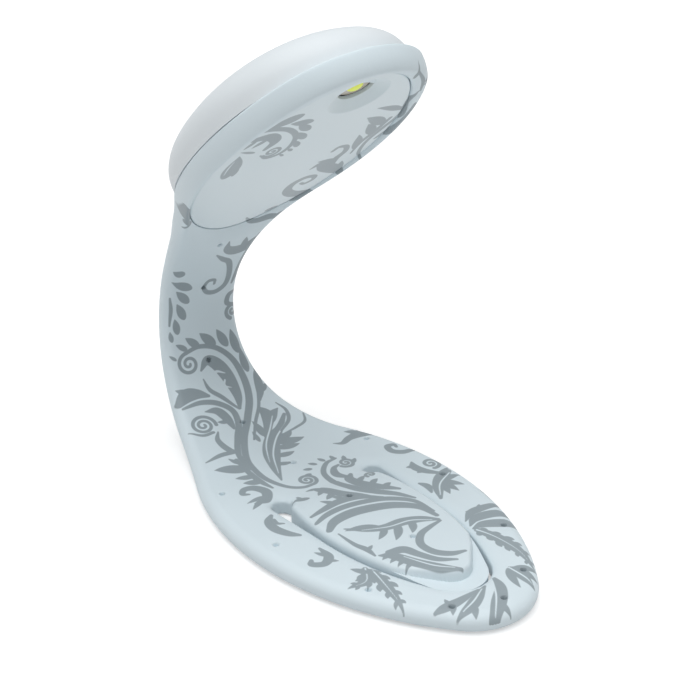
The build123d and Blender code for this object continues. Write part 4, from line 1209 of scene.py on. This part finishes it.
def screws(name, places, sizes, facing):
    """Screws at places along and across, their faces turned to the front or the back."""
    mesh = bpy.data.meshes.new(name)
    set_out = [(u * millimetre, facing * y * millimetre, facing * n * millimetre) for u, y, n in places]
    mesh.from_pydata(set_out, [], [])
    made = bpy.data.objects.new(name, mesh)
    bpy.context.collection.objects.link(made)
    step = made.modifiers.new("screws", "NODES")
    step.node_group = screw_tree
    for entry in screw_tree.interface.items_tree:
        if entry.in_out == "INPUT" and entry.name in screw_sizes:
            step[entry.identifier] = sizes[entry.name] * millimetre
        if entry.in_out == "INPUT" and entry.name == "Finish":
            step[entry.identifier] = screw_steel
    bpy.context.view_layer.update()
    done = bpy.data.meshes.new_from_object(made.evaluated_get(bpy.context.evaluated_depsgraph_get()))
    made.modifiers.clear()
    made.data = done
    along, out_of = lies(1, 0, 0) - foot, lies(0, 0, 1) - foot
    across = np.cross(facing * out_of, along) / millimetre
    columns = [Vector(v / millimetre) for v in (along, across, facing * out_of)]
    turn_to = Matrix(columns).transposed().to_4x4()
    turn_to.translation = Vector(foot)
    done.transform(turn_to)
    done.shade_smooth()
    done.set_sharp_from_angle(angle=math.radians(35))
    return made


door_screw = screws("door_screw_slotted", [(lug_place, 0, housing_back)],
                    {"Head Radius": 1.5, "Head Height": 0.6, "Shank Radius": 0.8, "Shank Length": 3.9,
                     "Slot Width": 0.4, "Slot Depth": 0.4}, -1)
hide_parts("door_screw")
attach(door_screw, "door")
screw_along, screw_across, screw_level = 9.2, 15.03, panel_back - 0.1
rim_places = [(panel_centre + u, y, screw_level) for u in (screw_along, -screw_along)
              for y in (screw_across, -screw_across)]
rim_screws = screws("rim_screws_slotted", rim_places,
                    {"Head Radius": 1.3, "Head Height": 0.8, "Shank Radius": 0.8, "Shank Length": 5.5,
                     "Slot Width": 0.4, "Slot Depth": 0.4}, 1)
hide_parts("housing_screws")
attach(rim_screws, "head")

# Button: a round cap of darker plastic through the housing, pressed to switch the lamp.
# Its flange keeps it inside the shell and its stem ends just short of the switch.
button_round, button_proud, flange_radius, flange_thickness = 0.5, 0.1, 3.7, 0.8
stem_radius, stem_end, shell_gap = 1.4, -8.15, 0.08
cap_face = housing_back - button_proud
flange_outer = housing_back + pod_wall + shell_gap
flange_inner = flange_outer + flange_thickness
profile = [(0.3, cap_face), (button_radius - button_round - 0.4, cap_face)]
profile += rounded_edge(button_radius, cap_face, button_round)
profile += [(button_radius, flange_outer), (flange_radius, flange_outer), (flange_radius, flange_inner),
            (stem_radius, flange_inner), (stem_radius, stem_end)]
button_plastic, shader, surface = moulded("button_plastic", (196, 205, 211), 0.5, 0.03, 0.0006, 0.000015)
button = turned("button_cap", button_place, 0, profile, 96, 30)
button.data.materials.append(button_plastic)
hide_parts("power_button")
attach(button, "button")

# Lamp: a white light-emitting diode, clear epoxy with a domed top over a yellow-green phosphor.
# It stands on the board and looks out of the panel's cone.
lamp_flange, lamp_top, lamp_foot, shoulder_fall, crown = 2.9, -0.6, -4.2, 0.35, 0.15
shoulder, soft_corner = lamp_top - shoulder_fall, 0.1
profile = [(0.3, lamp_foot), (lamp_flange - soft_corner, lamp_foot), (lamp_flange, lamp_foot + soft_corner),
           (lamp_flange, shoulder - soft_corner), (lamp_flange - soft_corner, shoulder)]
for share in np.linspace(0.9, 0.06, 14):
    profile.append((lamp_flange * share, lamp_top - crown - crown * share**2))
lens = turned("lamp_lens", lamp_place, 0, profile, 96, 40)
epoxy, shader, surface = moulded("clear_epoxy", (196, 184, 168), 0.15, 0.35, 0.0008, 0.000004)
shader.inputs["Coat Weight"].default_value = 0.6
shader.inputs["IOR"].default_value = 1.5
lens.data.materials.append(epoxy)
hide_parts("led_body")
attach(lens, "head")
phosphor_radius, phosphor_rise, phosphor_level, phosphor_back = 1.6, 0.85, lamp_top - 0.6, lamp_top - 1.4
phosphor, shader, surface = moulded("lamp_phosphor", (214, 224, 96), 0.6, 0.12, 0.00015, 0.00002)
# Painted glow: the phosphor shines faintly in its own yellow, which makes it brighter than the studio lamps
# alone would.
shader.inputs["Emission Color"].default_value = linear((226, 236, 120))
shader.inputs["Emission Strength"].default_value = 0.25
profile = [(0.2, phosphor_back), (phosphor_radius - 0.1, phosphor_back),
           (phosphor_radius, phosphor_back + 0.2)]
for t in np.radians(np.linspace(0, 80, 9)):
    profile.append((phosphor_radius * math.cos(t), phosphor_level + phosphor_rise * math.sin(t)))
dot = turned("lamp_phosphor_dot", lamp_place, 0, profile, 64, 50)
dot.data.materials.append(phosphor)
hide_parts("led_phosphor")
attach(dot, "head")
finish("led_leads", metal("tinned_wire", (214, 213, 208), 0.28))

# Inside: the board with its switch and resistor, the two cells, their contacts and the frame.
# Fibreglass under green solder mask, nickel-plated cans, sprung brass strip and black moulded plastic.
for part, *recipe in (("circuit_board", "solder_mask", (38, 104, 62), 0.35, 0.25, 0.0012, 0.00002),
                      ("tact_switch", "switch_plastic", (44, 44, 46), 0.45, 0.08, 0.0006, 0.00001),
                      ("inner_frame", "frame_plastic", (74, 72, 70), 0.55, 0.08, 0.0007, 0.00002),
                      ("resistor", "resistor_ceramic", (40, 42, 46), 0.3, 0.1, 0.0005, 0.00001)):
    finish(part, moulded(*recipe)[0])
nickel = metal("nickel_plated_can", (212, 211, 206), 0.2)
brass = metal("contact_strip", (214, 192, 132), 0.26)
for part, plated in (("coin_cell_outer", nickel), ("coin_cell_inner", nickel),
                     ("contact_negative", brass), ("contact_positive", brass)):
    finish(part, plated)

# Studio: a pale floor, soft light from above and the photograph's viewing angle.
# The camera stands in front of the head and looks down on the clip.
bpy.ops.mesh.primitive_plane_add(size=6, location=(0, 0, -0.0001))
floor = bpy.context.object
floor.name = "studio_floor"
paper = bpy.data.materials.new("studio_paper")
paper.use_nodes = True
tree = paper.node_tree
shader = tree.nodes["Principled BSDF"]
shader.inputs["Base Color"].default_value = (0.74, 0.74, 0.74, 1)
shader.inputs["Roughness"].default_value = 1.0
shader.inputs["Specular IOR Level"].default_value = 0.0
shader.inputs["Emission Color"].default_value = (1, 1, 1, 1)
seen = tree.nodes.new("ShaderNodeLightPath")
direct = node(tree, "ShaderNodeMath",
              {0: seen.outputs["Is Camera Ray"], 1: seen.outputs["Is Glossy Ray"]}, "MAXIMUM")
shown = node(tree, "ShaderNodeMath",
             {0: direct.outputs[0], 1: seen.outputs["Is Transmission Ray"]}, "MAXIMUM")
spot = tree.nodes.new("ShaderNodeTexCoord")
away = node(tree, "ShaderNodeVectorMath", {0: spot.outputs["Object"]}, "LENGTH")
paler_far = node(tree, "ShaderNodeMapRange", {"Value": away.outputs["Value"], "From Min": 0.12,
                                              "From Max": 0.9, "To Min": 0.4, "To Max": 0.78})
paler_far.interpolation_type = "SMOOTHSTEP"
glow = node(tree, "ShaderNodeMath", {0: shown.outputs[0], 1: paler_far.outputs["Result"]}, "MULTIPLY")
tree.links.new(glow.outputs[0], shader.inputs["Emission Strength"])
floor.data.materials.append(paper)

yaw, pitch, roll = 0.8679, 0.4232, 0.0211
camera_place = Vector((0.162028, -0.127218, 0.121711))
back = Vector((math.sin(yaw) * math.cos(pitch), -math.cos(yaw) * math.cos(pitch), math.sin(pitch)))
right = Vector((math.cos(yaw), math.sin(yaw), 0))
above_view = back.cross(right)
across_view = math.cos(roll) * right + math.sin(roll) * above_view
up_view = -math.sin(roll) * right + math.cos(roll) * above_view
camera = bpy.data.objects.new("camera", bpy.data.cameras.new("camera"))
bpy.context.collection.objects.link(camera)
camera.data.lens = 63.91
camera.data.sensor_width = 36
camera.data.clip_start = 0.01
placed = Matrix((across_view, up_view, back)).transposed().to_4x4()
placed.translation = camera_place
camera.matrix_world = placed
bpy.context.scene.camera = camera

world = bpy.data.worlds.new("studio")
bpy.context.scene.world = world
world.use_nodes = True
tree = world.node_tree
background = tree.nodes["Background"]
background.inputs["Color"].default_value = (1, 1, 1, 1)
seen = tree.nodes.new("ShaderNodeLightPath")
strength = node(tree, "ShaderNodeMapRange",
                {"Value": seen.outputs["Is Camera Ray"], "To Min": 0.4, "To Max": 1.0})
tree.links.new(strength.outputs["Result"], background.inputs["Strength"])
aim = Vector((0, 0, 0.03))


def soft_box(name, place, size, power):
    """A round soft lamp that looks at the object's middle."""
    lamp = bpy.data.lights.new(name, "AREA")
    lamp.shape, lamp.size, lamp.energy = "DISK", size, power
    made = bpy.data.objects.new(name, lamp)
    bpy.context.collection.objects.link(made)
    made.location = place
    made.rotation_euler = (aim - Vector(place)).to_track_quat("-Z", "Y").to_euler()


soft_box("key", (0.0, -0.15, 0.95), 1.1, 7.2)
soft_box("fill", (0.5, 0.1, 0.85), 0.6, 0.7)
bpy.context.scene.view_settings.view_transform = "Standard"
